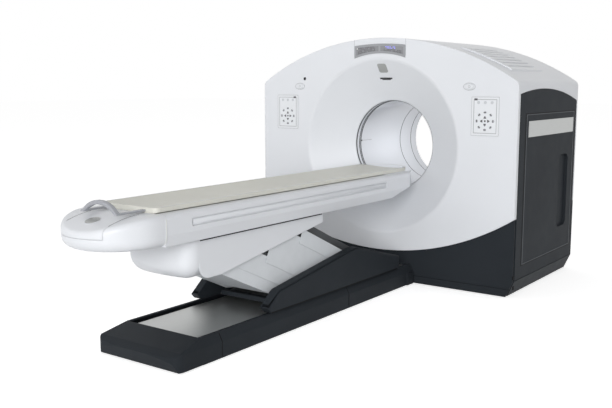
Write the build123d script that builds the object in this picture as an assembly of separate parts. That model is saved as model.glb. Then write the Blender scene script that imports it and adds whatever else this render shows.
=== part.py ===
from build123d import *
import os
from math import asin, cos, hypot, radians, sin, sqrt

# PET-CT scanner: an arched gantry round a patient bore, and a patient table on a floor base.
# Millimetres. X to the right facing the gantry, Y from its front to its back, Z up from the floor.
# The origin is on the floor below the point where the CT scan plane meets the bore axis.

# Common allowances
overrun = 20.0  # how far a cutting shape passes the face that it cuts
running_gap = 0.3  # between curved faces, and round what moves
seam = 0.8  # joint line between neighbouring covers

# Gantry outside
gantry_width = 2250.0
gantry_depth = 1250.0
gantry_height = 1872.0
iso_setback = 500.0  # front face to CT scan plane
arch_radius = 2040.0  # roof line, and the lower edge of the white front
corner_radius = 55.0
cover_wall = 8.0
front_lowest = 235.0  # lowest point of the white front
top_rim_depth = 150.0
side_rim_depth = 35.0
rear_top_rim_depth = 50.0
rear_side_rim_depth = 18.0

# Bore
bore_diameter = 700.0
bore_height_share = 29 / 52  # bore axis, of the gantry's height
funnel_crown_margin = 158.0  # roof to the funnel's edge
funnel_depth = 234.0
funnel_lip = 20.0
funnel_round = 45.0
liner_wall = 6.0
trim_ring_length = 66.0
trim_groove_width = 6.0
trim_groove_depth = 2.5
liner_front_end = 955.0  # from the gantry's front face
liner_middle_end = 1148.0

# Dark lower panels and side covers
floor_gap = 5.0
skirt_height = 120.0
skirt_tuck = 51.5  # how far the skirt draws in at the floor
panel_recess = 4.0
panel_thickness = 10.0
toe_height = 60.0
groove_width = 6.0
groove_depth = 4.0
side_wall = 12.0
side_front_setback = 40.0
side_rear_setback = 20.0
brow_front_drop = 84.8  # below the shoulder
brow_top_drop = 42.8
brow_top_setback = 490.0
brow_rear_drop = 145.8
side_flange = 40.0

# Side doors
door_front_setback = 160.0
door_rear_setback = 1180.0
door_bottom = 220.0
door_top_drop = 223.8
door_thickness = 7.0
door_lip = 15.0
door_gap = 0.7
door_corner = 14.0
grip_width = 210.0
grip_top_drop = 170.0  # below the metal strip
grip_bottom = 400.0
grip_depth = 22.0
grip_wall = 4.0
grip_rear_margin = 110.0
strip_plate_drop = 50.0  # below the door's top
strip_plate_height = 115.0
strip_plate_margin = 45.0
strip_plate_thickness = 3.0

# Roof cowls
cowl_rise = 9.0
cowl_inner = 580.0
cowl_outer = 985.0
cowl_front_setback = 205.0
cowl_length = 600.0
louvre_count = 7
louvre_width = 18.0
louvre_end_margin = 45.0

# Front fittings
display_half_width = 225.0
display_height = 71.0
display_top_margin = 45.0
display_thickness = 6.0
display_recess = 4.0
screen_margin = 16.0
screen_thickness = 3.0
panel_centre_share = 0.7813  # of the gantry's half width
panel_width = 214.0
panel_top_drop = 98.8  # below the shoulder
panel_height = 280.0
panel_corner = 14.0
control_thickness = 4.0
control_recess = 2.5
key_radius = 11.0
key_height = 1.5
key_ring_radius = 62.0
key_ring_count = 8
arrow_reach = 26.0
arrow_size = 17.0
key_centre_share = 0.38
row_key_share = 0.85
row_key_spacing_share = 0.24
stop_centre_share = 0.6693
stop_drop = 28.8
stop_long = 95.0
stop_short = 55.0
stop_button_share = 0.7
stop_proud = 5.0
stop_depth = 14.0
stop_travel = 4.0
stop_wall = 5.0
stop_collar = 2.5
lens_centre_share = 0.6276
lens_rise = 32.2  # above the shoulder
lens_diameter = 25.0
lens_depth = 5.0
slot_radius_share = 0.46  # place of the laser slot across the funnel's slope
slot_length = 110.0
slot_height = 13.0
slot_depth = 4.0

# Cover frame and base plate
base_plate_thickness = 20.0
base_plate_margin = 65.0
anchor_spacing_x = 1500.0
anchor_spacing_y = 640.0
anchor_diameter = 18.0
post_size = 40.0
post_end_margin = 110.0
rail_top_drop = 158.8
frame_rail_depth = 40.0

# CT works, with distances along Y taken from the scan plane
rotor_crown_margin = 88.0  # roof to the rotor's rim
rotor_bore_gap = 40.0
hub_wall = 40.0
rotor_plate_front = 40.0
rotor_plate_thickness = 20.0
rotor_rim_length = 100.0
rotor_rim_wall = 20.0
bearing_wall = 50.0
stator_front = 120.0
stator_thickness = 30.0
stator_margin = 40.0  # beyond the rotor's rim
tube_radius = 95.0
tube_length = 260.0
tube_margin = 140.0  # rotor's rim to the tube's middle
collimator_width = 180.0
collimator_depth = 90.0
collimator_bore_gap = 50.0
detector_margin = 90.0
detector_thickness = 90.0
detector_fan = 60.0
detector_depth = 100.0
generator_bore_gap = 140.0
generator_height = 300.0
generator_depth = 180.0
generator_margin = 60.0
exchanger_depth = 180.0
slip_margin = 40.0
slip_width = 60.0
slip_thickness = 15.0
drive_gap = 5.0
drive_thickness = 30.0
drive_fan = 130.0
drive_depth = 160.0

# PET works, with distances along Y taken from the scan plane
pet_front = 400.0
pet_axial = 160.0
pet_count = 36
pet_bore_gap = 55.0
pet_block_depth = 110.0
pet_block_share = 0.94
pet_frame_thickness = 30.0
pet_frame_margin = 20.0  # beyond the rotor's rim
pet_shield_gap = 12.0
pet_shield_thickness = 15.0

# Electronics racks
rack_width = 150.0
rack_height = 760.0
rack_side_gap = 120.0
rack_end_gap = 10.0

# Table base, with reaches taken forwards from the gantry's front face
base_width = 640.0
base_height = 150.0
base_end_length = 222.0  # in front of the top plate
base_wall = 7.0
base_shoulder_height = 100.0
base_shoulder_width = 28.0
base_bulge = 16.0
base_corner = 55.0
cap_lean = 36.0
cap_brow_height = 84.0
cap_brow_run = 46.0
cap_brow_top = 110.0
dock_post_reach = 60.0
dock_post_length = 42.0
dock_post_gap = 8.0
dock_post_proud = 14.0
dock_post_height = 118.0
cap_lap = 140.0  # beside the top plate
cover_split_share = 0.3868
base_lip = 19.0
top_plate_width = 474.0
top_plate_reach = 2340.0
top_plate_height = 136.0
top_plate_thickness = 6.0
base_floor_thickness = 12.0
base_anchor_diameter = 16.0
base_anchor_spacing_x = 360.0
base_anchor_spacing_share = 10 / 13  # along the top plate
base_anchor_share = 7 / 13
rib_thickness = 12.0
rib_count = 5
rail_centre = 250.0
rail_width = 14.0
rail_beam_width = 24.0
rail_base = 90.0
rail_height = 125.0

# Carriage
wedge_front_reach = 1780.0
wedge_rear_reach = 200.0
wedge_peak_reach = 790.0
wedge_peak_height = 413.0
wedge_nose_height = 282.0
wedge_nose_low = 195.0
wedge_nose_length = 108.0
wedge_nose_round = 90.0
wedge_tail_height = 252.0
wedge_bottom = 158.0
wedge_inner = 255.0
wedge_wall = 5.0
wedge_peak_round = 260.0
wedge_edge_round = 20.0
deck_height = 166.0
deck_thickness = 14.0
deck_front_reach = 1560.0
deck_rear_reach = 260.0
runner_length = 140.0
runner_width = 18.0
runner_end_margin = 60.0
cross_cover_reach = 1600.0
cross_cover_depth = 40.0
cross_cover_top = 196.0
cross_cover_width = 428.0
cheek_inner = 195.0
cheek_thickness = 10.0
cheek_front_reach = 1500.0
cheek_rear_reach = 470.0
cheek_front_height = 245.0
cheek_pad = 52.0

# Lift
arm_angle = 25.0  # above level, at rest
arm_low_angle = 10.0  # above level, table right down
arm_length = 1000.0
arm_depth = 64.0
arm_plate = 22.0
lower_arm_inner = 110.0
upper_arm_inner = 160.0
lower_pivot_reach = 790.0
lower_pivot_height = 224.0
upper_pivot_reach = 550.0
upper_pivot_height = 284.0
shaft_radius = 20.0
tie_radius = 18.0
tie_share = 0.55
gearbox_width = 130.0
gearbox_length = 150.0
gearbox_height = 122.0
motor_radius = 42.0
motor_length = 130.0

# Shroud slats, which swing beside the arms
slat_thickness = 3.0
slat_pitch = 5.0
slat_first_inner = 222.0
slat_pivot_height = 210.0
slat_pin_radius = 8.0
slat_end = 30.0
slat_length = 830.0
slat_span = 1630.0
slat_place_shares = (0.761, 0.640, 0.424, 0.236)
shroud_width = 465.0
slat_half_width_shares = (0.118, 0.146, 0.261, 0.103)
slat_floor_clearance = 6.0
apron_start = 200.0

# Table top
table_width = 600.0
table_low = 690.0
table_high = 860.0
table_wall = 10.0
table_foot_reach = 2580.0
table_head_reach = -140.0
table_head_low_reach = 270.0
table_head_tip_height = 806.0
table_head_tip_width = 440.0
table_head_taper = 170.0
table_top_opening = 448.0
table_top_round = 30.0
table_tuck = 18.0
table_tuck_height = 60.0
table_flange_inner = 220.0
table_groove_low = 780.0
table_groove_high = 820.0
table_groove_depth = 6.0
table_groove_front_reach = 2390.0
table_groove_rear_reach = 370.0
frame_outer = 205.0
frame_wall = 10.0
frame_low = 700.0
frame_top = 825.0
frame_front_reach = 2520.0
frame_rear_reach = 300.0
frame_ear = 46.0
frame_tab_length = 90.0
frame_tab_count = 5
hull_bar_size = 36.0
hull_bar_front_reach = 2290.0

# Nose
nose_reach = 2930.0
nose_crown_reach = 2620.0
nose_tip_height = 790.0
nose_bottom_round = 60.0
nose_top_round = 32.0
nose_wall = 6.0
nose_panel_width = 320.0
nose_panel_low = 762.0
inlay_diameter = 86.0
inlay_rise = 2.0
inlay_reach = 2808.0

# Underbody hull
hull_width = 500.0
hull_wall = 5.0
hull_top = 685.0
hull_low = 458.0
hull_front_reach = 2405.0
hull_rear_reach = 1110.0
hull_low_reach = 2110.0
hull_rear_drop = 63.0
hull_bow_round = 105.0
hull_bow_length = 36.0
hull_corner = 90.0
hull_opening_reach = 2240.0
hull_flank_reach = 2290.0
hull_flank_corner = 70.0

# Cradle
cradle_width = 436.0
cradle_top = 888.0
cradle_dip = 26.0
cradle_thickness = 25.0
cradle_rim = 14.0
cradle_foot_reach = 2574.0
cradle_head_reach = -205.0
cradle_foot_corner = 30.0
cradle_foot_wall = 16.0
cradle_rail_centre = 160.0
cradle_rail_width = 22.0
cradle_rail_height = 840.0
drive_belt_width = 40.0
drive_belt_height = 832.0
cradle_motor_reach = 2250.0
cradle_motor_radius = 50.0
cradle_motor_length = 170.0
handle_width = 280.0
handle_reach = 2755.0
handle_low = 866.0
handle_high = 936.0
handle_band = 24.0
handle_depth = 28.0
handle_strap = 11.0
handle_round = 5.0

# Places worked out from the sizes above
front_y = -iso_setback
rear_y = front_y + gantry_depth
half_width = gantry_width / 2
bore_radius = bore_diameter / 2
bore_height = bore_height_share * gantry_height
liner_radius = bore_radius + liner_wall
bore_axis = Axis((0, 0, bore_height), (0, 1, 0))
front_rise = arch_radius - sqrt(arch_radius**2 - half_width**2)
shoulder_height = gantry_height - front_rise
brow_front_height = shoulder_height - brow_front_drop
brow_top_height = shoulder_height - brow_top_drop
brow_rear_height = shoulder_height - brow_rear_drop
door_top = shoulder_height - door_top_drop
strip_plate_high = door_top - strip_plate_drop
strip_plate_low = strip_plate_high - strip_plate_height
grip_top = strip_plate_low - grip_top_drop
rail_top = shoulder_height - rail_top_drop
panel_centre = panel_centre_share * half_width
panel_high = shoulder_height - panel_top_drop
panel_low = panel_high - panel_height
stop_centre = stop_centre_share * half_width
stop_height = shoulder_height - stop_drop
lens_centre = lens_centre_share * half_width
lens_height = shoulder_height + lens_rise
funnel_radius = gantry_height - bore_height - funnel_crown_margin
display_low_radius = gantry_height - display_top_margin - display_height - bore_height
rotor_radius = gantry_height - bore_height - rotor_crown_margin
rotor_inner_radius = bore_radius + rotor_bore_gap
hub_radius = rotor_inner_radius + hub_wall
bearing_outer_radius = hub_radius + bearing_wall
stator_radius = rotor_radius + stator_margin
tube_orbit = rotor_radius - tube_margin
collimator_inner = bore_radius + collimator_bore_gap
detector_outer = rotor_radius - detector_margin
detector_inner = detector_outer - detector_thickness
generator_inner = bore_radius + generator_bore_gap
generator_outer = rotor_radius - generator_margin
slip_outer = rotor_radius - slip_margin
slip_inner = slip_outer - slip_width
pet_inner = bore_radius + pet_bore_gap
pet_outer = pet_inner + pet_block_depth
pet_frame_radius = rotor_radius + pet_frame_margin
pet_shield_inner = bore_radius + pet_shield_gap
rack_outer = half_width - rack_side_gap
base_reach = top_plate_reach + base_end_length
cap_reach = top_plate_reach - cap_lap
cover_split_reach = cover_split_share * top_plate_reach
base_anchor_spacing_y = base_anchor_spacing_share * top_plate_reach
base_anchor_reach = base_anchor_share * top_plate_reach
base_half = base_width / 2
base_back = front_y + panel_recess  # the base docks against the lower front panel
table_half = table_width / 2
arm_tilt = radians(arm_angle)
arm_low_tilt = radians(arm_low_angle)


def ahead(reach):
    """Y of a place at a reach forwards from the gantry's front face."""
    return front_y - reach


def slab(x_span, y_span, z_span):
    """A box between two limits on each axis."""
    spans = (x_span, y_span, z_span)
    middle = [(low + high) / 2 for low, high in spans]
    size = [high - low for low, high in spans]
    return Pos(*middle) * Box(*size)


def front_prism(face, y_low, y_high):
    """A face drawn in X and Z, carried along Y."""
    return extrude(Plane.XZ.offset(-y_low) * face, y_low - y_high)


def side_prism(face, x_low, x_high):
    """A face drawn in Y and Z, carried along X."""
    return extrude(Plane.YZ.offset(x_low) * face, x_high - x_low)


def plan_prism(face, z_low, z_high):
    """A face drawn in X and Y, carried up."""
    return extrude(Plane.XY.offset(z_low) * face, z_high - z_low)


def both_sides(part):
    """A right-hand piece together with its mirror image."""
    return part + mirror(part, Plane.YZ)


def outline(*points):
    """A closed face through the given points."""
    return make_face(Polyline(*points, close=True))


def ring(inner, outer, y_low, y_high):
    """A plain ring about the bore axis."""
    face = Pos(0, bore_height) * (Circle(outer) - Circle(inner))
    return front_prism(face, y_low, y_high)


def disc(radius, y_low, y_high):
    """A round plug on the bore axis."""
    return front_prism(Pos(0, bore_height) * Circle(radius), y_low, y_high)


def ring_sector(inner, outer, y_low, y_high, fan, turn):
    """Part of a ring that spans fan degrees about an angle turn from +X."""
    reach = outer + overrun
    half = radians(fan / 2)
    rise = reach * sin(half) / cos(half)
    wedge = outline((0, 0), (reach, -rise), (reach, rise))
    cut = front_prism(Pos(0, bore_height) * Rot(0, 0, turn) * wedge, y_low, y_high)
    return ring(inner, outer, y_low, y_high) & cut


def x_rod(place, radius, x_low, x_high):
    """A round bar along X through a place given in Y and Z."""
    return side_prism(Pos(*place) * Circle(radius), x_low, x_high)


# Gantry covers


def arch_band(inset, low):
    """The gantry seen from the front, drawn in by inset, from height low to the arched roof line."""
    crown = Pos(0, gantry_height - arch_radius) * Circle(arch_radius - inset)
    block = Pos(0, (low + gantry_height) / 2) * Rectangle(gantry_width - 2 * inset, gantry_height - low)
    face = block & crown
    return fillet(face.vertices().group_by(Axis.Y)[-1], corner_radius - inset)


def white_front(inset):
    """The white face of the gantry, between the roof line and the lower arc."""
    keel = Pos(0, front_lowest + arch_radius) * Circle(arch_radius - inset)
    return arch_band(inset, 0) & keel


def cover_pan(y_face, y_rim, y_side_rim):
    """A moulded cover with a deep rim along the roof and a shallow rim below the side brow."""
    inward = 1 if y_rim > y_face else -1
    skin = front_prism(white_front(0), min(y_face, y_rim), max(y_face, y_rim))
    back = y_face + inward * cover_wall
    past = y_rim + inward * overrun
    hollow = front_prism(white_front(cover_wall), min(back, past), max(back, past))
    behind = slab(
        (-gantry_width, gantry_width),
        (min(y_side_rim, past), max(y_side_rim, past)),
        (0, gantry_height),
    )
    return skin - hollow - (behind & side_prism(below_brow(0), -gantry_width, gantry_width))


def funnel_slope(radius):
    """Depth of the funnel's face behind the gantry's front at a radius."""
    return funnel_depth * (funnel_radius - radius) / (funnel_radius - bore_radius)


def funnel():
    """The dish that leads into the bore, with a soft outer edge."""
    mouth = funnel_radius
    run = mouth - bore_radius
    slant = sqrt(run**2 + funnel_depth**2)
    behind = cover_wall * slant / funnel_depth
    back_radius = mouth + behind - cover_wall * run / funnel_depth
    points = (
        (front_y, bore_height + mouth),
        (front_y + funnel_depth, bore_height + bore_radius),
        (front_y + funnel_depth, bore_height + bore_radius + behind),
        (front_y + cover_wall, bore_height + back_radius),
        (front_y + cover_wall, bore_height + mouth + funnel_lip),
        (front_y, bore_height + mouth + funnel_lip),
    )
    face = outline(*points)
    edge = face.vertices().sort_by_distance((front_y, bore_height + mouth, 0))[0]
    return revolve(Plane.YZ * fillet(edge, funnel_round), bore_axis)


def display_face(inset):
    """The band of the display, between an arc about the bore and one along the roof line."""
    above = Pos(0, gantry_height - arch_radius) * Circle(arch_radius - display_top_margin - inset)
    block = Pos(0, gantry_height) * Rectangle(2 * (display_half_width - inset), gantry_height)
    return (block & above) - Pos(0, bore_height) * Circle(display_low_radius + inset)


def control_face(inset):
    """The right-hand control panel, drawn in by inset."""
    middle = (panel_low + panel_high) / 2
    size = (panel_width - 2 * inset, panel_high - panel_low - 2 * inset)
    return Pos(panel_centre, middle) * RectangleRounded(*size, panel_corner - inset)


def stop_oval(inset):
    """The oval of the right-hand stop button's collar, drawn in by inset."""
    return Pos(stop_centre, stop_height) * Ellipse(stop_long / 2 - inset, stop_short / 2 - inset)


def stop_plunger_face(growth):
    """The oval of the right-hand stop button itself, grown by a clearance."""
    size = (stop_long * stop_button_share / 2 + growth, stop_short * stop_button_share / 2 + growth)
    return Pos(stop_centre, stop_height) * Ellipse(*size)


def stop_housing():
    """Raised collar in front of the cover and the cup behind it, before the well is cut."""
    cup_back = front_y + stop_depth + stop_travel + stop_wall
    collar = front_prism(stop_oval(0), front_y - stop_collar, front_y + cover_wall)
    cup = front_prism(stop_plunger_face(stop_wall), front_y, cup_back)
    return both_sides(collar + cup)


def stop_well():
    """The well in which a stop button travels."""
    floor = front_y + stop_depth + stop_travel
    return both_sides(front_prism(stop_plunger_face(running_gap), front_y - overrun, floor))


def slot_block(growth):
    """The laser slot, set square to the funnel's slope above the bore."""
    mouth = funnel_radius
    radius = mouth - slot_radius_share * (mouth - bore_radius)
    slope = Plane(
        origin=(0, front_y + funnel_slope(radius), bore_height + radius),
        x_dir=(1, 0, 0),
        z_dir=(0, -(mouth - bore_radius), -funnel_depth),
    )
    size = (slot_length + 2 * growth, slot_height + 2 * growth, 2 * slot_depth)
    return slope * Box(*size) & slope * Pos(0, 0, -slot_depth / 2) * Box(*size)


def lens_disc(radius, depth):
    """The round observation lens on the left of the front."""
    return front_prism(Pos(-lens_centre, lens_height) * Circle(radius), front_y, front_y + depth)


def front_cover():
    cover = cover_pan(front_y, front_y + top_rim_depth, front_y + side_rim_depth)
    cover -= disc(funnel_radius + funnel_lip / 2, front_y - overrun, front_y + cover_wall + overrun)
    cover += funnel()
    cover += stop_housing()
    cover -= stop_well()
    cover -= front_prism(display_face(-running_gap), front_y - overrun, front_y + display_recess)
    for side in (control_face(-running_gap), mirror(control_face(-running_gap), Plane.YZ)):
        cover -= front_prism(side, front_y - overrun, front_y + control_recess)
    cover -= lens_disc(lens_diameter / 2 + running_gap, lens_depth)
    return cover - slot_block(running_gap)


def rear_cover():
    cover = cover_pan(rear_y, rear_y - rear_top_rim_depth, rear_y - rear_side_rim_depth)
    return cover - disc(liner_radius + running_gap, rear_y - gantry_depth / 2, rear_y + overrun)


def below_brow(drop):
    """Side view of all that lies under the brow line between roof and side covers."""
    brow = ThreePointArc(
        (front_y, brow_front_height - drop),
        (front_y + brow_top_setback, brow_top_height - drop),
        (rear_y, brow_rear_height - drop),
    )
    rest = Polyline(brow @ 1, (rear_y, 0), (front_y, 0), brow @ 0)
    return make_face((brow + rest).edges())


def cowl():
    """The right-hand louvred cowl, which rises from the roof towards the back."""
    y_low = front_y + cowl_front_setback
    y_high = y_low + cowl_length
    crest = front_prism(arch_band(-cowl_rise, brow_top_height), y_low, y_high)
    core = front_prism(arch_band(0, brow_top_height - overrun), y_low - overrun, y_high + overrun)
    limits = slab((cowl_inner, cowl_outer), (y_low, y_high), (0, gantry_height))
    block = (crest - core) & limits
    return block


def louvres():
    """The row of slots through the right-hand cowl."""
    y_low = front_y + cowl_front_setback + louvre_end_margin
    y_high = y_low + cowl_length - 2 * louvre_end_margin
    pitch = (cowl_outer - cowl_inner) / (louvre_count + 1)
    slots = []
    for number in range(louvre_count):
        middle = cowl_inner + (number + 1) * pitch
        x_span = (middle - louvre_width / 2, middle + louvre_width / 2)
        slots.append(slab(x_span, (y_low, y_high), (brow_top_height, gantry_height + overrun)))
    return Part() + slots


def roof_cover():
    y_low = front_y + top_rim_depth + seam
    y_high = rear_y - rear_top_rim_depth - seam
    skin = front_prism(arch_band(0, skirt_height), y_low, y_high)
    hollow = front_prism(arch_band(cover_wall, 0), y_low - overrun, y_high + overrun)
    roof = skin - hollow - side_prism(below_brow(0), -gantry_width, gantry_width)
    roof += both_sides(cowl())
    return roof - both_sides(louvres())


def side_section(inset):
    """Front view of the right-hand side wall, upright above and tucked in towards the floor."""
    outer = half_width - inset
    foot = outer - skirt_tuck
    return outline(
        (outer, gantry_height),
        (outer, skirt_height),
        (foot, floor_gap),
        (0, floor_gap),
        (0, gantry_height),
    )


def door_face(inset):
    """Side view of the door opening, drawn in by inset."""
    y_low = front_y + door_front_setback + inset
    y_high = front_y + door_rear_setback - inset
    middle = ((y_low + y_high) / 2, (door_bottom + door_top) / 2)
    size = (y_high - y_low, door_top - door_bottom - 2 * inset)
    return Pos(*middle) * RectangleRounded(*size, door_corner)


def side_cover():
    """The dark right-hand side cover, with its front and rear flanges and the rebate for the door."""
    y_low = front_y + side_front_setback
    y_high = rear_y - side_rear_setback
    skin = front_prism(side_section(0), y_low, y_high)
    hollow = front_prism(side_section(side_wall), y_low + side_wall, y_high - side_wall)
    core = slab((-overrun, half_width - side_flange), (y_low, y_high), (skirt_height, gantry_height))
    foot_block = slab((0, half_width), (y_low, y_high), (0, skirt_height))
    foot = front_prism(side_section(side_wall), y_low, y_high) & foot_block
    cover = (skin - hollow - core - foot) & side_prism(below_brow(seam), 0, gantry_width)
    cover -= side_prism(door_face(0), half_width - door_thickness, half_width + overrun)
    cover -= side_prism(door_face(door_lip), half_width - side_wall - overrun, half_width)
    groove = slab(
        (half_width - groove_depth, half_width + overrun),
        (y_low - overrun, y_high + overrun),
        (skirt_height, skirt_height + groove_width),
    )
    return cover - groove


def grip_face(inset):
    """Side view of the hand recess in the door, drawn in by inset."""
    y_high = front_y + door_rear_setback - grip_rear_margin
    middle = (y_high - grip_width / 2, (grip_bottom + grip_top) / 2)
    size = (grip_width - 2 * inset, grip_top - grip_bottom - 2 * inset)
    return Pos(*middle) * RectangleRounded(*size, grip_width / 4 - inset)


def side_door():
    """The right-hand lift-off door, with its moulded hand recess."""
    back = half_width - door_thickness
    door = side_prism(door_face(door_gap), back, half_width)
    door += side_prism(grip_face(-grip_wall), half_width - grip_depth - grip_wall, back)
    return door - side_prism(grip_face(0), half_width - grip_depth, half_width + overrun)


def door_strip():
    """The bare metal strip across the top of the right-hand door."""
    y_low = front_y + door_front_setback + strip_plate_margin
    y_high = front_y + door_rear_setback - strip_plate_margin / 2
    x_span = (half_width, half_width + strip_plate_thickness)
    return slab(x_span, (y_low, y_high), (strip_plate_low, strip_plate_high))


def lower_panel(y_front):
    """The dark panel below the white arc, with the line of the toe strip."""
    foot = half_width - skirt_tuck
    block = outline(
        (-half_width, front_lowest + front_rise),
        (half_width, front_lowest + front_rise),
        (half_width, skirt_height),
        (foot, floor_gap),
        (-foot, floor_gap),
        (-half_width, skirt_height),
    )
    panel = front_prism(block - white_front(-seam), y_front, y_front + panel_thickness)
    return panel


def front_lower_panel():
    panel = lower_panel(front_y + panel_recess)
    y_span = (front_y, front_y + panel_recess + groove_depth)
    return panel - slab((-gantry_width, gantry_width), y_span, (toe_height, toe_height + groove_width))


def rear_lower_panel():
    return lower_panel(rear_y - panel_recess - panel_thickness)


# Front fittings


def display_bezel():
    proud = display_thickness - display_recess
    bezel = front_prism(display_face(0), front_y - proud, front_y + display_recess)
    return bezel - display_wells(0)


def display_wells(inset):
    """The two screen windows of the display, side by side."""
    window = display_face(screen_margin + inset)
    middle_bar = Pos(0, gantry_height) * Rectangle(screen_margin + 2 * inset, gantry_height)
    proud = display_thickness - display_recess
    return front_prism(window - middle_bar, front_y - proud, front_y - proud + screen_thickness)


def control_panel():
    """The right-hand control panel plate."""
    back = front_y + control_recess
    return front_prism(control_face(0), back - control_thickness, back)


def control_keys():
    """Membrane keys of the right-hand panel: a ring round an arrow cross, and a row above."""
    face_y = front_y + control_recess - control_thickness
    middle = panel_low + key_centre_share * (panel_high - panel_low)
    centre = Pos(panel_centre, middle)
    faces = [centre * spot * Circle(key_radius) for spot in PolarLocations(key_ring_radius, key_ring_count)]
    faces += [
        centre * spot * RectangleRounded(arrow_size, arrow_size, arrow_size / 4)
        for spot in PolarLocations(arrow_reach, 4)
    ]
    row = panel_low + row_key_share * (panel_high - panel_low)
    step = row_key_spacing_share * panel_width
    for number in (-1, 0, 1):
        faces.append(Pos(panel_centre + number * step, row) * Circle(key_radius))
    return Part() + [front_prism(face, face_y - key_height, face_y) for face in faces]


def stop_button():
    """The right-hand stop button at rest."""
    return front_prism(stop_plunger_face(0), front_y - stop_proud, front_y + stop_depth)


def optical_windows():
    """The observation lens and the dark slot above the bore."""
    return [lens_disc(lens_diameter / 2, lens_depth), slot_block(0)]


# Bore


def bore_trim_ring():
    start = front_y + funnel_depth
    body = ring(bore_radius, liner_radius, start, start + trim_ring_length)
    for share in (1 / 3, 2 / 3):
        low = start + share * trim_ring_length
        body -= disc(bore_radius + trim_groove_depth, low, low + trim_groove_width)
    return body


def bore_liner(y_low, y_high):
    return ring(bore_radius, liner_radius, y_low, y_high)


# Frame and works of the gantry


def gantry_base_plate():
    half = half_width - base_plate_margin
    y_span = (front_y + base_plate_margin, rear_y - base_plate_margin)
    plate = slab((-half, half), y_span, (0, base_plate_thickness))
    middle = (y_span[0] + y_span[1]) / 2
    spots = GridLocations(anchor_spacing_x, anchor_spacing_y, 2, 2)
    holes = [spot * Circle(anchor_diameter / 2) for spot in spots]
    for hole in holes:
        plate -= plan_prism(Pos(0, middle) * hole, -overrun, base_plate_thickness + overrun)
    return plate


def cover_frame():
    """Posts on the base plate, with the rails that the side covers and lower panels hang on."""
    outer = half_width - base_plate_margin
    inner = outer - post_size
    face = half_width - side_wall
    y_first = front_y + post_end_margin
    y_last = rear_y - post_end_margin
    frame = slab((inner, face), (y_first, y_last), (rail_top - frame_rail_depth, rail_top))
    for y_low in (y_first, y_last - post_size):
        frame += slab((inner, outer), (y_low, y_low + post_size), (base_plate_thickness, rail_top))
    frame = both_sides(frame)
    panel_backs = (front_y + panel_recess + panel_thickness, rear_y - panel_recess - panel_thickness)
    for back, post in zip(panel_backs, (y_first + post_size, y_last - post_size)):
        rail_z = (base_plate_thickness, base_plate_thickness + frame_rail_depth)
        y_span = (min(back, post), max(back, post))
        frame += both_sides(slab((inner, outer), y_span, rail_z))
    return frame


def standing_ring(hole, radius, y_low, y_high):
    """A ring plate on legs that reach down to the base plate."""
    middle = (bore_height + base_plate_thickness) / 2
    legs = Pos(0, middle) * Rectangle(2 * radius, bore_height - base_plate_thickness)
    face = (Pos(0, bore_height) * Circle(radius)) + legs
    return front_prism(face - Pos(0, bore_height) * Circle(hole), y_low, y_high)


def ct_stator_frame():
    back = stator_front + stator_thickness
    return standing_ring(bearing_outer_radius + running_gap, stator_radius, stator_front, back)


def ct_main_bearing():
    return ring(hub_radius + running_gap, bearing_outer_radius, stator_front, stator_front + stator_thickness)


def rotor_drum():
    plate_back = rotor_plate_front + rotor_plate_thickness
    drum = ring(rotor_inner_radius, rotor_radius, rotor_plate_front, plate_back)
    drum += ring(rotor_inner_radius, hub_radius, plate_back, stator_front + stator_thickness)
    return drum + ring(rotor_radius - rotor_rim_wall, rotor_radius, plate_back - rotor_rim_length, plate_back)


def xray_tube():
    """Tube housing above the bore, with its collimator box towards the bore."""
    back = rotor_plate_front
    tube = front_prism(Pos(0, bore_height + tube_orbit) * Circle(tube_radius), back - tube_length, back)
    x_span = (-collimator_width / 2, collimator_width / 2)
    z_span = (bore_height + collimator_inner, bore_height + tube_orbit)
    return tube + slab(x_span, (back - collimator_depth, back), z_span)


def detector_arc():
    back = rotor_plate_front
    return ring_sector(detector_inner, detector_outer, back - detector_depth, back, detector_fan, -90)


def rotor_box(side, depth):
    """A box on the rotor plate, beside the bore."""
    x_span = sorted((side * generator_inner, side * generator_outer))
    z_span = (bore_height - generator_height / 2, bore_height + generator_height / 2)
    return slab(x_span, (rotor_plate_front - depth, rotor_plate_front), z_span)


def slip_ring():
    low = rotor_plate_front + rotor_plate_thickness
    return ring(slip_inner, slip_outer, low, low + slip_thickness)


def rotor_drive_stator():
    """The lower arc of the direct drive, which hangs on the stator frame round the rotor rim."""
    inner = rotor_radius + drive_gap
    outer = inner + drive_thickness
    return ring_sector(inner, outer, stator_front - drive_depth, stator_front, drive_fan, -90)


def pet_ring_frame():
    low = pet_front + pet_axial
    return standing_ring(pet_inner, pet_frame_radius, low, low + pet_frame_thickness)


def pet_detector_modules():
    """The ring of detector blocks, each seated on the ring frame's front face."""
    width = pet_block_share * 2 * pet_inner * sin(radians(180 / pet_count))
    depth = pet_outer - pet_inner - running_gap
    middle = pet_inner + running_gap + depth / 2
    spots = PolarLocations(middle, pet_count)
    faces = [Pos(0, bore_height) * spot * Rectangle(depth, width) for spot in spots]
    return Part() + [front_prism(face, pet_front, pet_front + pet_axial) for face in faces]


def pet_end_shields():
    low = pet_front - pet_shield_thickness
    back = pet_front + pet_axial
    front = ring(pet_shield_inner, pet_outer, low, pet_front)
    return [front, ring(pet_shield_inner, pet_inner - running_gap, back, back + pet_frame_thickness)]


def electronics_racks():
    x_span = (rack_outer - rack_width, rack_outer)
    y_span = (stator_front + stator_thickness, pet_front + pet_axial - rack_end_gap)
    z_span = (base_plate_thickness, base_plate_thickness + rack_height)
    return both_sides(slab(x_span, y_span, z_span))


# Table base


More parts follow.
